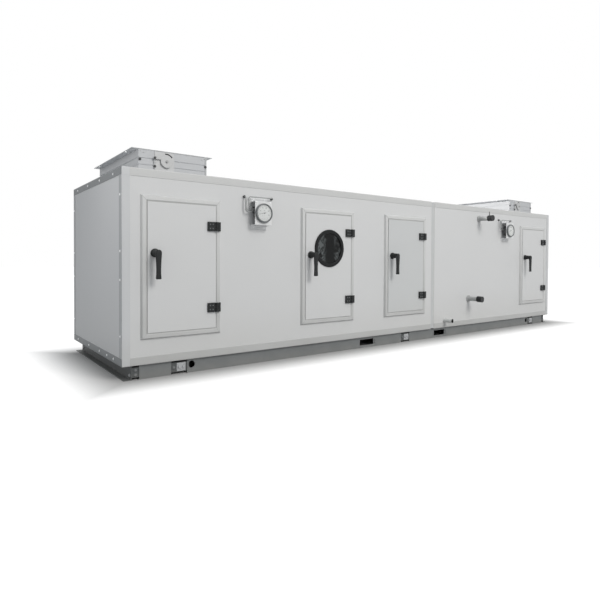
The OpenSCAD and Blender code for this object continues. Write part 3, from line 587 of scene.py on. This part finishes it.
LEVER_HALF, LEVER_SIDES, LEVER_SQUARE = 0.0172, 28, 0.62
CLOSED_R = 1e-5


def lathe(name, profile, at, along=OUT, sides=40):
    """A profile of (distance, radius) points turned round an axis through a point."""
    axis = Vector(along)
    first = axis.orthogonal().normalized()
    second = axis.cross(first)
    at = Vector(at)
    rings = []
    for far, radius in profile:
        radius = max(radius, CLOSED_R)
        rings.append([at + axis * far + radius * (math.cos(a) * first + math.sin(a) * second)
                      for a in (math.tau * i / sides for i in range(sides))])
    return swept(name, rings)


def lever_mesh(at):
    """The lever as a skin over rounded squares, one for each row of its table."""
    rings = []
    for down, wide, thick in LEVER:
        half, deep = LEVER_HALF * wide, (LEVER_FAR - LEVER_NEAR) / 2 * thick
        ring = []
        for i in range(LEVER_SIDES):
            a = math.tau * i / LEVER_SIDES
            c, s = math.cos(a), math.sin(a)
            x = half * math.copysign(abs(c) ** LEVER_SQUARE, c)
            y = deep * math.copysign(abs(s) ** LEVER_SQUARE, s)
            ring.append((at.x + x, at.y - (LEVER_NEAR + LEVER_FAR) / 2 + y, at.z + down))
        rings.append(ring)
    return swept("lever", rings)


for n in DOORS:
    at = joint_at[f"door_{n}_handle"]
    whole = gather(f"handle_{n}_moulded", [lathe("boss", BOSS, at), lever_mesh(at)])
    grip = add_piece(f"handle_{n}_moulded", soften(whole, 40), f"handle_{n}", black_plastic)
    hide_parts(f"door_handle_{n}")

# Sight window
# A round port in the second door: a black moulded rim clamps a dark safety glass over the dark
# inside of the casing. Pale streaks on the glass, heavier towards the left, are painted reflections.
rim_black = finish("rim_black", tone(20, 22, 23), 0.4, drift=0.12, patch=25, grain=1400, relief=0.1,
                   shine=0.18)
eased("window_rim", 0.0025, rim_black, steps=3)
GLASS_FROM, GLASS_TO = -0.93, -0.73
# How strong the painted reflection is, from the glass's left side to its right.
REFLECTION_SHARE = ((0.0, 0.8), (0.16, 1.0), (0.44, 0.08), (0.62, 0.05), (0.86, 0.5), (1.0, 0.4))
glass = bpy.data.materials.new("dark_glass")
glass.use_nodes = True
tree = glass.node_tree
link = tree.links.new
pane = set_inputs(tree.nodes["Principled BSDF"], Alpha=0.82, IOR=1.5, Specular_IOR_Level=0.25)
place = new_node(tree, "ShaderNodeTexCoord")
ripple = new_node(tree, "ShaderNodeTexNoise", Scale=22, Detail=4, Distortion=1.2)
link(place.outputs["Object"], ripple.inputs["Vector"])
split = new_node(tree, "ShaderNodeSeparateXYZ")
link(place.outputs["Object"], split.inputs["Vector"])
across = new_node(tree, "ShaderNodeMapRange", From_Min=GLASS_FROM, From_Max=GLASS_TO)
link(split.outputs["X"], across.inputs["Value"])
reflection_across = new_node(tree, "ShaderNodeValToRGB")
reflection_across.color_ramp.interpolation = "EASE"
for where, _ in REFLECTION_SHARE[1:-1]:
    reflection_across.color_ramp.elements.new(where)
for stop, (_, share) in zip(reflection_across.color_ramp.elements, REFLECTION_SHARE):
    stop.color = (share, share, share, 1)
link(across.outputs["Result"], reflection_across.inputs["Fac"])
streaks = new_node(tree, "ShaderNodeMapRange", From_Min=0.42, From_Max=0.66)
link(ripple.outputs["Fac"], streaks.inputs["Value"])
reflection_ramp = new_node(tree, "ShaderNodeValToRGB")
clean, reflected_grey = reflection_ramp.color_ramp.elements
clean.position, reflected_grey.position = 0.08, 0.6
clean.color, reflected_grey.color = tone(6, 9, 10), tone(98, 103, 104)
link(maths(tree, "MULTIPLY", reflection_across.outputs["Color"], streaks.outputs["Result"]), reflection_ramp.inputs["Fac"])
link(reflection_ramp.outputs["Color"], pane.inputs["Base Color"])
gloss = new_node(tree, "ShaderNodeMapRange", To_Min=0.03, To_Max=0.12)
link(ripple.outputs["Fac"], gloss.inputs["Value"])
link(gloss.outputs["Result"], pane.inputs["Roughness"])
eased("window_glass", 0.001, glass)

# Gauge plates
# White painted sheet steel, folded to a hat shape and screwed to the panel by its two feet,
# with a round hole for the gauge.
white_plate = finish("white_plate", tone(222, 223, 224), 0.4, drift=0.02, patch=8, grain=700, relief=0.03)
eased("gauge_plates", 0.0007, white_plate)
hat_lo, hat_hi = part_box("gauge_plates")
panel_y = hat_hi.y
GAUGES = (-1.4, 1.393)
gauge_z = (hat_lo.z + hat_hi.z) / 2
FACE_SCREW_X, FACE_SCREW_Z = (-0.052, 0.052), 0.066
FOOT_SCREW_X, FOOT_SCREW_Z, FOOT_T = (-0.04, 0.04), (-0.087, 0.087), 0.0025
plate_screws = []
for x in GAUGES:
    plate_screws += [((x + dx, hat_lo.y, gauge_z + FACE_SCREW_Z), OUT) for dx in FACE_SCREW_X]
    plate_screws += [((x + dx, panel_y - FOOT_T, gauge_z + dz), OUT)
                     for dx in FOOT_SCREW_X for dz in FOOT_SCREW_Z]
fix("plate_screws", plate_screws, "casing", glint_white_screw, SMALL_SCREW)

# Gauges
# Round differential pressure gauges: a die-cast rim and body in grey, a white dial with a
# printed scale and a thin pointer near zero, under a clear cover.
gauge_case = finish("gauge_case", tone(104, 107, 109), 0.45, metal=0.1, drift=0.06, patch=30, relief=0.06)
gauge_body = finish("gauge_body", tone(92, 93, 94), 0.5, drift=0.1, patch=30, grain=900, relief=0.1,
                    shine=0.25)
dial_white = finish("dial_white", tone(214, 216, 215), 0.5, drift=0.01, patch=20, grain=600, relief=0.02)
dial_ink = finish("dial_ink", tone(84, 86, 89), 0.55, patch=60, grain=600, relief=0.02)
clear = bpy.data.materials.new("clear_cover")
clear.use_nodes = True
tree = clear.node_tree
link = tree.links.new
cover_skin = set_inputs(tree.nodes["Principled BSDF"], Base_Color=tone(240, 243, 244), Alpha=0.08)
place = new_node(tree, "ShaderNodeTexCoord")
haze = new_node(tree, "ShaderNodeTexNoise", Scale=60, Detail=4)
gloss = new_node(tree, "ShaderNodeMapRange", To_Min=0.03, To_Max=0.14)
link(place.outputs["Object"], haze.inputs["Vector"])
link(haze.outputs["Fac"], gloss.inputs["Value"])
link(gloss.outputs["Result"], cover_skin.inputs["Roughness"])
plate_y = hat_lo.y
# Turned parts as (distance, radius), from the plate outwards, or from the body for the spouts.
RIM = ((-0.0003, 0.0), (-0.0003, 0.0575), (0.002, 0.0602), (0.009, 0.0605), (0.0125, 0.0598), (0.015, 0.0578),
       (0.016, 0.0548), (0.0158, 0.0522), (0.0147, 0.0512), (0.0127, 0.0506), (0.0102, 0.0504), (0.0102, 0.0))
BODY = ((-0.046, 0.0), (-0.046, 0.047), (-0.044, 0.05), (-0.036, 0.05), (-0.035, 0.0485), (-0.033, 0.0485),
        (-0.032, 0.05), (0.0, 0.05), (0.0, 0.0))
DIAL = ((0.0103, 0.0), (0.0103, 0.0502), (0.0106, 0.0502), (0.0108, 0.0496), (0.0108, 0.0))
COVER = ((0.0131, 0.0), (0.0131, 0.0505), (0.0136, 0.0505), (0.0144, 0.04), (0.015, 0.02), (0.0151, 0.0))
HUB = ((0.0108, 0.0), (0.0108, 0.0038), (0.0122, 0.0038), (0.0126, 0.003), (0.0126, 0.0))
SPOUT = ((0, 0.0), (0, 0.006), (0.007, 0.006), (0.0075, 0.0045), (0.012, 0.0052), (0.0125, 0.0042),
         (0.017, 0.0048), (0.018, 0.0))
SPOUT_X, SPOUT_UP, PORT_OUT = 0.045, (0.006, 0.036), 0.024
FACE = 0.01085


def scale_marks():
    """Node tree: bars set across an arc at even steps."""
    tree = bpy.data.node_groups.new("scale_marks", "GeometryNodeTree")
    sockets = tree.interface
    sockets.new_socket("Points", in_out="INPUT", socket_type="NodeSocketGeometry")
    sockets.new_socket("Count", in_out="INPUT", socket_type="NodeSocketInt")
    for size in ("Radius", "Start", "Sweep"):
        sockets.new_socket(size, in_out="INPUT", socket_type="NodeSocketFloat")
    sockets.new_socket("Bar", in_out="INPUT", socket_type="NodeSocketVector")
    sockets.new_socket("Finish", in_out="INPUT", socket_type="NodeSocketMaterial")
    sockets.new_socket("Marks", in_out="OUTPUT", socket_type="NodeSocketGeometry")
    nodes, links = tree.nodes, tree.links
    given, result = nodes.new("NodeGroupInput"), nodes.new("NodeGroupOutput")
    arc = nodes.new("GeometryNodeCurveArc")
    arc.mode = "RADIUS"
    for own, socket in (("Count", "Resolution"), ("Radius", "Radius"), ("Start", "Start Angle"),
                        ("Sweep", "Sweep Angle")):
        links.new(given.outputs[own], arc.inputs[socket])
    bar = nodes.new("GeometryNodeMeshCube")
    links.new(given.outputs["Bar"], bar.inputs["Size"])
    way, aimed = nodes.new("GeometryNodeInputTangent"), nodes.new("FunctionNodeAlignRotationToVector")
    aimed.axis, aimed.pivot_axis = "X", "Z"
    links.new(way.outputs["Tangent"], aimed.inputs["Vector"])
    placed = nodes.new("GeometryNodeInstanceOnPoints")
    links.new(arc.outputs["Curve"], placed.inputs["Points"])
    links.new(bar.outputs["Mesh"], placed.inputs["Instance"])
    links.new(aimed.outputs["Rotation"], placed.inputs["Rotation"])
    real, coated = nodes.new("GeometryNodeRealizeInstances"), nodes.new("GeometryNodeSetMaterial")
    links.new(placed.outputs["Instances"], real.inputs["Geometry"])
    links.new(real.outputs["Geometry"], coated.inputs["Geometry"])
    links.new(given.outputs["Finish"], coated.inputs["Material"])
    links.new(coated.outputs["Geometry"], result.inputs["Marks"])
    return tree


marks = scale_marks()
SCALE_FROM, SCALE_TURN = math.radians(200), math.radians(-220)
THIN = 0.0001
# Rows of printed marks: how many, at what radius, and the size of each.
MARKS = ((51, 0.0445, (0.0005, 0.003, THIN)), (11, 0.0435, (0.0009, 0.006, THIN)),
         (90, 0.0467, (0.0026, 0.0004, THIN)))
NUMBERS = (0, 100, 200, 300, 400, 500)
NUMBER_R, NUMBER_SIZE, UNIT_SIZE, UNIT_UP = 0.0335, 0.0085, 0.009, 0.014
POINTER_SHARE, POINTER_LONG, POINTER_TAIL = 0.04, 0.044, 0.012
POINTER_NEAR, POINTER_FAR = Vector((0, -0.0115, 0)), Vector((0, -0.0119, 0))
TAIL_HALF, PIVOT_HALF, TIP_HALF = 0.0016, 0.0012, 0.0003


def mark_mesh(count, radius, bar):
    """One row of the scale's marks, lying flat round the origin."""
    holder = bpy.data.objects.new("marks", bpy.data.meshes.new("marks"))
    scene.collection.objects.link(holder)
    node_rows(holder, marks, {"Count": count, "Radius": radius, "Start": SCALE_FROM, "Sweep": SCALE_TURN,
                              "Bar": bar, "Finish": dial_ink})
    made = holder.data
    bpy.data.objects.remove(holder)
    return made


def word_mesh(word, size, x, y):
    """A printed word, lying flat with its middle at a place."""
    curve = bpy.data.curves.new("word", "FONT")
    curve.body, curve.size = word, size
    curve.align_x, curve.align_y = "CENTER", "CENTER"
    holder = bpy.data.objects.new("word", curve)
    scene.collection.objects.link(holder)
    bpy.context.view_layer.update()
    made = bpy.data.meshes.new_from_object(holder.evaluated_get(bpy.context.evaluated_depsgraph_get()))
    bpy.data.objects.remove(holder)
    made.transform(Matrix.Translation((x, y, 0)))
    return made


printed = [mark_mesh(*row) for row in MARKS]
for step, number in enumerate(NUMBERS):
    angle = SCALE_FROM + SCALE_TURN * step / (len(NUMBERS) - 1)
    x, y = NUMBER_R * math.cos(angle), NUMBER_R * math.sin(angle)
    printed.append(word_mesh(str(number), NUMBER_SIZE, x, y))
printed.append(word_mesh("Pa", UNIT_SIZE, 0, UNIT_UP))
print_mesh = gather("dial_print", printed)
point = SCALE_FROM + SCALE_TURN * POINTER_SHARE
needle_dir = Vector((math.cos(point), 0, math.sin(point)))
needle_side = Vector((-needle_dir.z, 0, needle_dir.x))
rims, bodies, dials, prints, pointers, hubs, covers = [], [], [], [], [], [], []
for x in GAUGES:
    at = Vector((x, plate_y, gauge_z))
    rims.append(lathe("rim", RIM, at, sides=64))
    bodies.append(lathe("body", BODY, at, sides=48))
    for up in SPOUT_UP:
        bodies.append(lathe("spout", SPOUT, (x - SPOUT_X, panel_y - PORT_OUT, gauge_z + up), LEFT, 20))
    dials.append(lathe("dial", DIAL, at, sides=64))
    hubs.append(lathe("hub", HUB, at, sides=24))
    flat = print_mesh.copy()
    flat.transform(Matrix.Translation(at - Vector((0, FACE, 0))) @ Matrix.Rotation(math.pi / 2, 4, "X"))
    prints.append(flat)
    rings = []
    for middle, half in ((at - needle_dir * POINTER_TAIL, TAIL_HALF), (at, PIVOT_HALF),
                         (at + needle_dir * POINTER_LONG, TIP_HALF)):
        low, high = middle - half * needle_side, middle + half * needle_side
        rings.append([low + POINTER_NEAR, high + POINTER_NEAR, high + POINTER_FAR, low + POINTER_FAR])
    pointers.append(swept("pointer", rings))
    covers.append(lathe("cover", COVER, at, sides=64))
case = add_piece("gauge_rims", soften(gather("gauge_rims", rims)), "casing", gauge_case)
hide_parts("gauges")
add_piece("gauge_bodies", soften(gather("gauge_bodies", bodies)), "casing", gauge_body)
add_piece("gauge_dials", soften(gather("gauge_dials", dials)), "casing", dial_white)
add_piece("dial_print", gather("dial_print_both", prints), "casing", dial_ink)
add_piece("gauge_pointers", gather("gauge_pointers", pointers), "casing", dial_ink)
add_piece("gauge_hubs", soften(gather("gauge_hubs", hubs)), "casing", dial_ink)
add_piece("gauge_covers", soften(gather("gauge_covers", covers)), "casing", clear)

# Taps and tubes of the gauges
# Short black nylon wall fittings, and soft clear tubes that are pushed into them and over the
# gauge's ports.
eased("gauge_taps", 0.0012, black_plastic, steps=3)
tube_skin = finish("clear_tube", tone(160, 163, 163), 0.22, patch=20, grain=300, relief=0.03)
tube_skin.node_tree.nodes["Principled BSDF"].inputs["Alpha"].default_value = 0.75
eased("gauge_tubes", 0.0003, tube_skin)

# Coil pipes
# Two steel stub pipes from the coil, grey primed, with a rubber collar where they leave the
# panel. Moulded black caps keep them clean until they are joined up; the upper one has a vent.
pipe_steel = finish("pipe_steel", tone(168, 170, 170), 0.55, metal=0.1, drift=0.12, patch=18, grain=220,
                    relief=0.06, draw=(1, 0.2, 1))
eased("coil_pipes", 0.0018, pipe_steel, steps=3)
cap_plastic = finish("cap_plastic", tone(38, 39, 41), 0.42, drift=0.12, patch=25, grain=1000, relief=0.1,
                     shine=0.25)
eased("pipe_caps", 0.0045, cap_plastic, steps=4)

# Drain
# A short open steel pipe from the drip tray, low on the front, ready for a trap.
drain_steel = finish("drain_steel", tone(208, 210, 209), 0.5, metal=0.1, drift=0.08, patch=18, grain=220)
bore_painted_shade = finish("bore_painted_shade", tone(40, 41, 41), 0.7, drift=0.15, patch=40, grain=300, relief=0.1)
INSIDE_R = 0.0146
drain = eased("drain_pipe", 0.0008, drain_steel)
drain_lo, drain_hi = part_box("drain_pipe")
drain_mid = (drain_lo + drain_hi) / 2
# The faces inside the bore are painted dark: painted shade in the pipe.
drain.data.materials.append(bore_painted_shade)
for face in drain.data.polygons:
    if math.hypot(face.center.x - drain_mid.x, face.center.z - drain_mid.z) < INSIDE_R:
        face.material_index = 1

# Damper frames
# Extruded aluminium in mill finish, mitred and screwed at the corners, with two grooves round
# the outside and a flange along both sides that a duct is bolted to. Faces that look down are
# painted lighter as painted light.
damper_metal = finish("damper_metal", tone(182, 184, 187), 0.5, metal=0.06, patch=6, grain=240)
# A lighter coat for the faces that look down: painted light under the flanges.
underside_painted_light = finish("underside_painted_light", tone(222, 224, 227), 0.5, drift=0.04, patch=6, grain=240)
lever_zinc = finish("lever_zinc", tone(183, 184, 185), 0.5, metal=0.1, drift=0.06, patch=25)
dark_bolt = finish("dark_bolt", tone(58, 59, 60), 0.42, metal=0.4, drift=0.1, patch=60, grain=700)
# A darker grey for the strip at each frame's right edge, the fold at the quadrant plate's left edge and the
# hems under the top: painted shade along those gaps and edges.
shade_strip_grey = finish("shade_strip_grey", tone(158, 160, 162), 0.5, metal=0.2, drift=0.08, patch=20, grain=400)
SIDES, FRAME_HALF = {"left": -1.899, "right": 1.94}, 0.211
EDGE_BOLT_IN = 0.008
FLANGE_BOLT_X, FLANGE_BOLT_Y, FLANGE_T = 0.029, 0.126, 0.003
CORNER_SCREWS = ((0.012, 0.012), (0.03, 0.02), (0.012, 0.118))
# Sections of the folded edges: two upright ones as (along, out), and the hem under the top as (down, out).
TRIM, TRIM_LOW, TRIM_TOP = ((-0.012, 0), (-0.0115, 0.001), (-0.001, 0.001), (-0.0005, 0)), 0.138, 0.004
FOLD = ((-0.0755, 0), (-0.0755, 0.0038), (-0.0748, 0.0045), (-0.0672, 0.0045), (-0.0665, 0.0038),
        (-0.0665, 0))
FOLD_DOWN, FOLD_UP = 0.046, 0.006
HEM, HEM_LEFT, HEM_RIGHT = ((0.0062, 0), (0.0056, 0.0012), (0.001, 0.0012), (0.0004, 0)), 0.001, 0.013


def looks_down(normal):
    """True for a face on the underside."""
    return normal.z < -SQUARE_ON


def upright(name, x, y, section, low, high):
    """A strip on the damper's front with the same section from a low to a high end."""
    return swept(name, [[(x + along, y - out, z) for along, out in section] for z in (low, high)])


frame_screws, edge_bolts, flange_bolts, shade_strips = [], [], [], []
for side, middle in SIDES.items():
    eased(f"damper_frame_{side}", 0.0008, damper_metal, other_coat=underside_painted_light, other_faces=looks_down)
    lo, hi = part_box(f"damper_frame_{side}")
    shaft = joint_at[f"damper_{side}_blade_2"]
    for y, arrow in ((lo.y, OUT), (hi.y, BACK)):
        for sx in (-1, 1):
            edge_bolts.append(((middle + sx * (FRAME_HALF - EDGE_BOLT_IN), y, shaft.z), arrow))
            flange_bolts.append(((middle + sx * (FRAME_HALF + FLANGE_BOLT_X), y - arrow[1] * FLANGE_BOLT_Y,
                                  hi.z - FLANGE_T), DOWN))
            frame_screws += [((middle + sx * (FRAME_HALF - x), y, hi.z - z), arrow) for x, z in CORNER_SCREWS]
    shade_strips.append(upright("trim", middle + FRAME_HALF, lo.y, TRIM, hi.z - TRIM_LOW, hi.z - TRIM_TOP))
    shade_strips.append(upright("fold", shaft.x, lo.y, FOLD, shaft.z - FOLD_DOWN, shaft.z + FOLD_UP))
    ends = (middle - FRAME_HALF + HEM_LEFT, middle + FRAME_HALF - HEM_RIGHT)
    for y, out in ((lo.y, -1), (hi.y, 1)):
        shade_strips.append(swept("hem", [[(x, y + out * deep, hi.z - down) for down, deep in HEM] for x in ends]))
# The strips are in the darker grey: painted shade.
add_piece("damper_shade_strips", gather("damper_shade_strips", shade_strips), "casing", shade_strip_grey)
fix("damper_screws", frame_screws, "casing", lever_zinc, SMALL_SCREW)
fix("flange_bolts", flange_bolts, "casing", glint_white_screw, HEX_BOLT)
fix("damper_edge_bolts", edge_bolts, "casing", dark_bolt, kind_of(16, 7, 5, 5, 1.5, 8, 1))

# Quadrant plates
# Zinc-plated steel plates behind the levers, each with a dark bolt at its left edge. The
# curved slot, which the lever is set along, has a dark strip behind it: painted shade in the slot.
quad_plate = finish("quadrant_plate", tone(190, 191, 192), 0.5, metal=0.06, patch=20)
eased("quadrant_plates", 0.0006, quad_plate)
QUAD_BOLT_X, QUAD_BOLT_OUT, QUAD_BOLT_DOWN = 0.069, 0.0044, 0.032
SLOT_R, SLOT_HALF, SLOT_FROM, SLOT_TURN, SLOT_STEPS, STRIP_T = 0.046, 0.0035, 38, 60, 16, 0.0012
quad_bolts, slot_shade_strips = [], []
for side in SIDES:
    shaft = joint_at[f"damper_{side}_blade_2"]
    back_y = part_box(f"damper_frame_{side}")[0].y
    quad_bolts.append(((shaft.x - QUAD_BOLT_X, back_y - QUAD_BOLT_OUT, shaft.z - QUAD_BOLT_DOWN), OUT))
    section = ((SLOT_R - SLOT_HALF, back_y), (SLOT_R + SLOT_HALF, back_y),
               (SLOT_R + SLOT_HALF, back_y - STRIP_T), (SLOT_R - SLOT_HALF, back_y - STRIP_T))
    rings = []
    for step in range(SLOT_STEPS + 1):
        a = math.radians(SLOT_FROM + SLOT_TURN * step / SLOT_STEPS)
        rings.append([(shaft.x + r * math.cos(a), y, shaft.z + r * math.sin(a)) for r, y in section])
    slot_shade_strips.append(swept("strip", rings))
fix("quadrant_bolts", quad_bolts, "casing", dark_bolt, kind_of(6, 6, 5, 5, 1, 8, 1))
add_piece("quadrant_slot_shade", gather("quadrant_slot_shade", slot_shade_strips), "casing", rubber)

# Damper levers
# Zinc-plated steel levers, each held on the end of the driven shaft by a nut, with a dark
# knob at the end of its arm.
ARM, ARM_UP, LEVER_OUT = 0.072, 0.0155, 0.014
KNOB = kind_of(16, 6.5, 6, 5, 1.5, 7, 0.5)
nut_zinc = finish("nut_zinc", tone(146, 147, 148), 0.45, metal=0.2, drift=0.08, patch=60, grain=700)
for side in SIDES:
    eased(f"damper_lever_{side}", 0.0012, lever_zinc)
    shaft = joint_at[f"damper_{side}_blade_2"]
    body, lever_y = f"blade_{side}_2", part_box(f"damper_frame_{side}")[0].y - LEVER_OUT
    fix(f"lever_nut_{side}", [((shaft.x, lever_y, shaft.z), OUT)], body, nut_zinc, HEX_BOLT)
    arm_end = (shaft.x - ARM, lever_y, shaft.z + ARM_UP)
    fix(f"lever_knob_{side}", [(arm_end, OUT)], body, dark_bolt, KNOB)

# Damper blades
# Hollow aluminium aerofoil blades on steel shafts, with a soft rubber bead along both edges
# that seals against the next blade.
blade_metal = finish("blade_metal", tone(196, 198, 200), 0.34, metal=0.55, patch=8, grain=240, relief=0.04,
                     draw=(1, 0.15, 1))
BLADE_TIP, BLADE_HALF, BEAD = 0.0445, 0.388, 0.0011
BEAD_ROD = ((0, 0.0), (0, BEAD), (2 * BLADE_HALF, BEAD), (2 * BLADE_HALF, 0.0))
for side in SIDES:
    for k in (1, 2, 3, 4):
        eased(f"damper_blade_{side}_{k}", 0.0004, blade_metal, steps=1)
        shaft = joint_at[f"damper_{side}_blade_{k}"]
        starts = [(shaft.x + sx * BLADE_TIP, shaft.y + BLADE_HALF, shaft.z) for sx in (-1, 1)]
        beads = soften(gather("beads", [lathe("bead", BEAD_ROD, start, OUT, 10) for start in starts]))
        add_piece(f"blade_beads_{side}_{k}", beads, f"blade_{side}_{k}", rubber)

# Floor and light
# A plain pale floor that keeps a soft shadow, a white surround, and broad soft lamps from the
# front, from above and from behind, with a small one near the left end and a narrow one along
# the roof.
WHITE, LAMP_COLOUR = (1, 1, 1, 1), (1, 0.975, 0.945)
SURROUND_COLOUR, SURROUND_LEVEL = (0.94, 0.98, 1.0, 1), 0.47
FLOOR_COLOUR, FLOOR_GLOW, FLOOR_HALF = (0.45, 0.45, 0.45, 1), 0.8, 40
UNDER_UNIT, SHADOW_WIDE = (("X", 2.22), ("Y", 0.47)), 0.4


def in_view(tree):
    """One for what the camera sees, straight on, in metal or through glass."""
    path = tree.nodes.new("ShaderNodeLightPath").outputs
    mirrored = maths(tree, "MAXIMUM", path["Is Glossy Ray"], path["Is Transmission Ray"])
    return maths(tree, "MAXIMUM", path["Is Camera Ray"], mirrored)


# The surround is white to the eye, and a plain soft light on everything else.
scene.world = bpy.data.worlds.new("surround")
scene.world.use_nodes = True
tree = scene.world.node_tree
link = tree.links.new
seen = set_inputs(tree.nodes["Background"], Color=WHITE, Strength=1)
soft = new_node(tree, "ShaderNodeBackground", Color=SURROUND_COLOUR, Strength=SURROUND_LEVEL)
mixed = tree.nodes.new("ShaderNodeMixShader")
link(in_view(tree), mixed.inputs["Fac"])
link(soft.outputs["Background"], mixed.inputs[1])
link(seen.outputs["Background"], mixed.inputs[2])
link(mixed.outputs["Shader"], tree.nodes["World Output"].inputs["Surface"])

# The floor glows white to the eye away from the unit, so that only the shadow near it shows.
square = [(x * FLOOR_HALF, y * FLOOR_HALF, 0) for x, y in ((-1, -1), (1, -1), (1, 1), (-1, 1))]
floor_mesh = from_faces("floor", square, [(0, 1, 2, 3)])
floor = bpy.data.objects.new("floor", floor_mesh)
scene.collection.objects.link(floor)
pale = bpy.data.materials.new("pale_floor")
pale.use_nodes = True
tree = pale.node_tree
link = tree.links.new
ground = set_inputs(tree.nodes["Principled BSDF"], Base_Color=FLOOR_COLOUR, Roughness=0.9,
                    Emission_Color=WHITE)
place = new_node(tree, "ShaderNodeTexCoord")
plan = new_node(tree, "ShaderNodeSeparateXYZ")
link(place.outputs["Object"], plan.inputs["Vector"])
past = [maths(tree, "SUBTRACT", maths(tree, "ABSOLUTE", plan.outputs[axis]), half)
        for axis, half in UNDER_UNIT]
grow = new_node(tree, "ShaderNodeMapRange", From_Min=0, From_Max=SHADOW_WIDE, To_Min=0,
                To_Max=FLOOR_GLOW)
grow.interpolation_type = "SMOOTHSTEP"
link(maths(tree, "MAXIMUM", *past), grow.inputs["Value"])
glow = maths(tree, "MULTIPLY", in_view(tree), grow.outputs["Result"])
link(glow, ground.inputs["Emission Strength"])
floor_mesh.materials.append(pale)


def soft_lamp(name, place, aim, size, power, spread=180):
    """A round lamp at a place, aimed at a point, with its size in metres and its power in watts."""
    lamp = bpy.data.lights.new(name, "AREA")
    lamp.shape, lamp.size, lamp.energy = "DISK", size, power
    lamp.color = LAMP_COLOUR
    lamp.spread = math.radians(spread)
    holder = bpy.data.objects.new(name, lamp)
    scene.collection.objects.link(holder)
    holder.location = place
    holder.rotation_euler = (Vector(aim) - Vector(place)).to_track_quat("-Z", "Y").to_euler()


soft_lamp("key", (0.4, -7.5, 5.5), (0, 0, 0.5), 4, 397)
soft_lamp("top", (0.3, -2.2, 6.5), (0, -0.6, 0.5), 5, 45)
soft_lamp("end_fill", (-3.05, -0.47, 1.3), (-2.25, -0.42, 0.8), 0.5, 2.6)
soft_lamp("back_fill", (5.5, 7, 4), (0.5, 0.2, 0.6), 5, 170)
soft_lamp("roof", (-4.5, 0.6, 2.9), (1.94, 0, 1.25), 0.6, 11.8, 32)
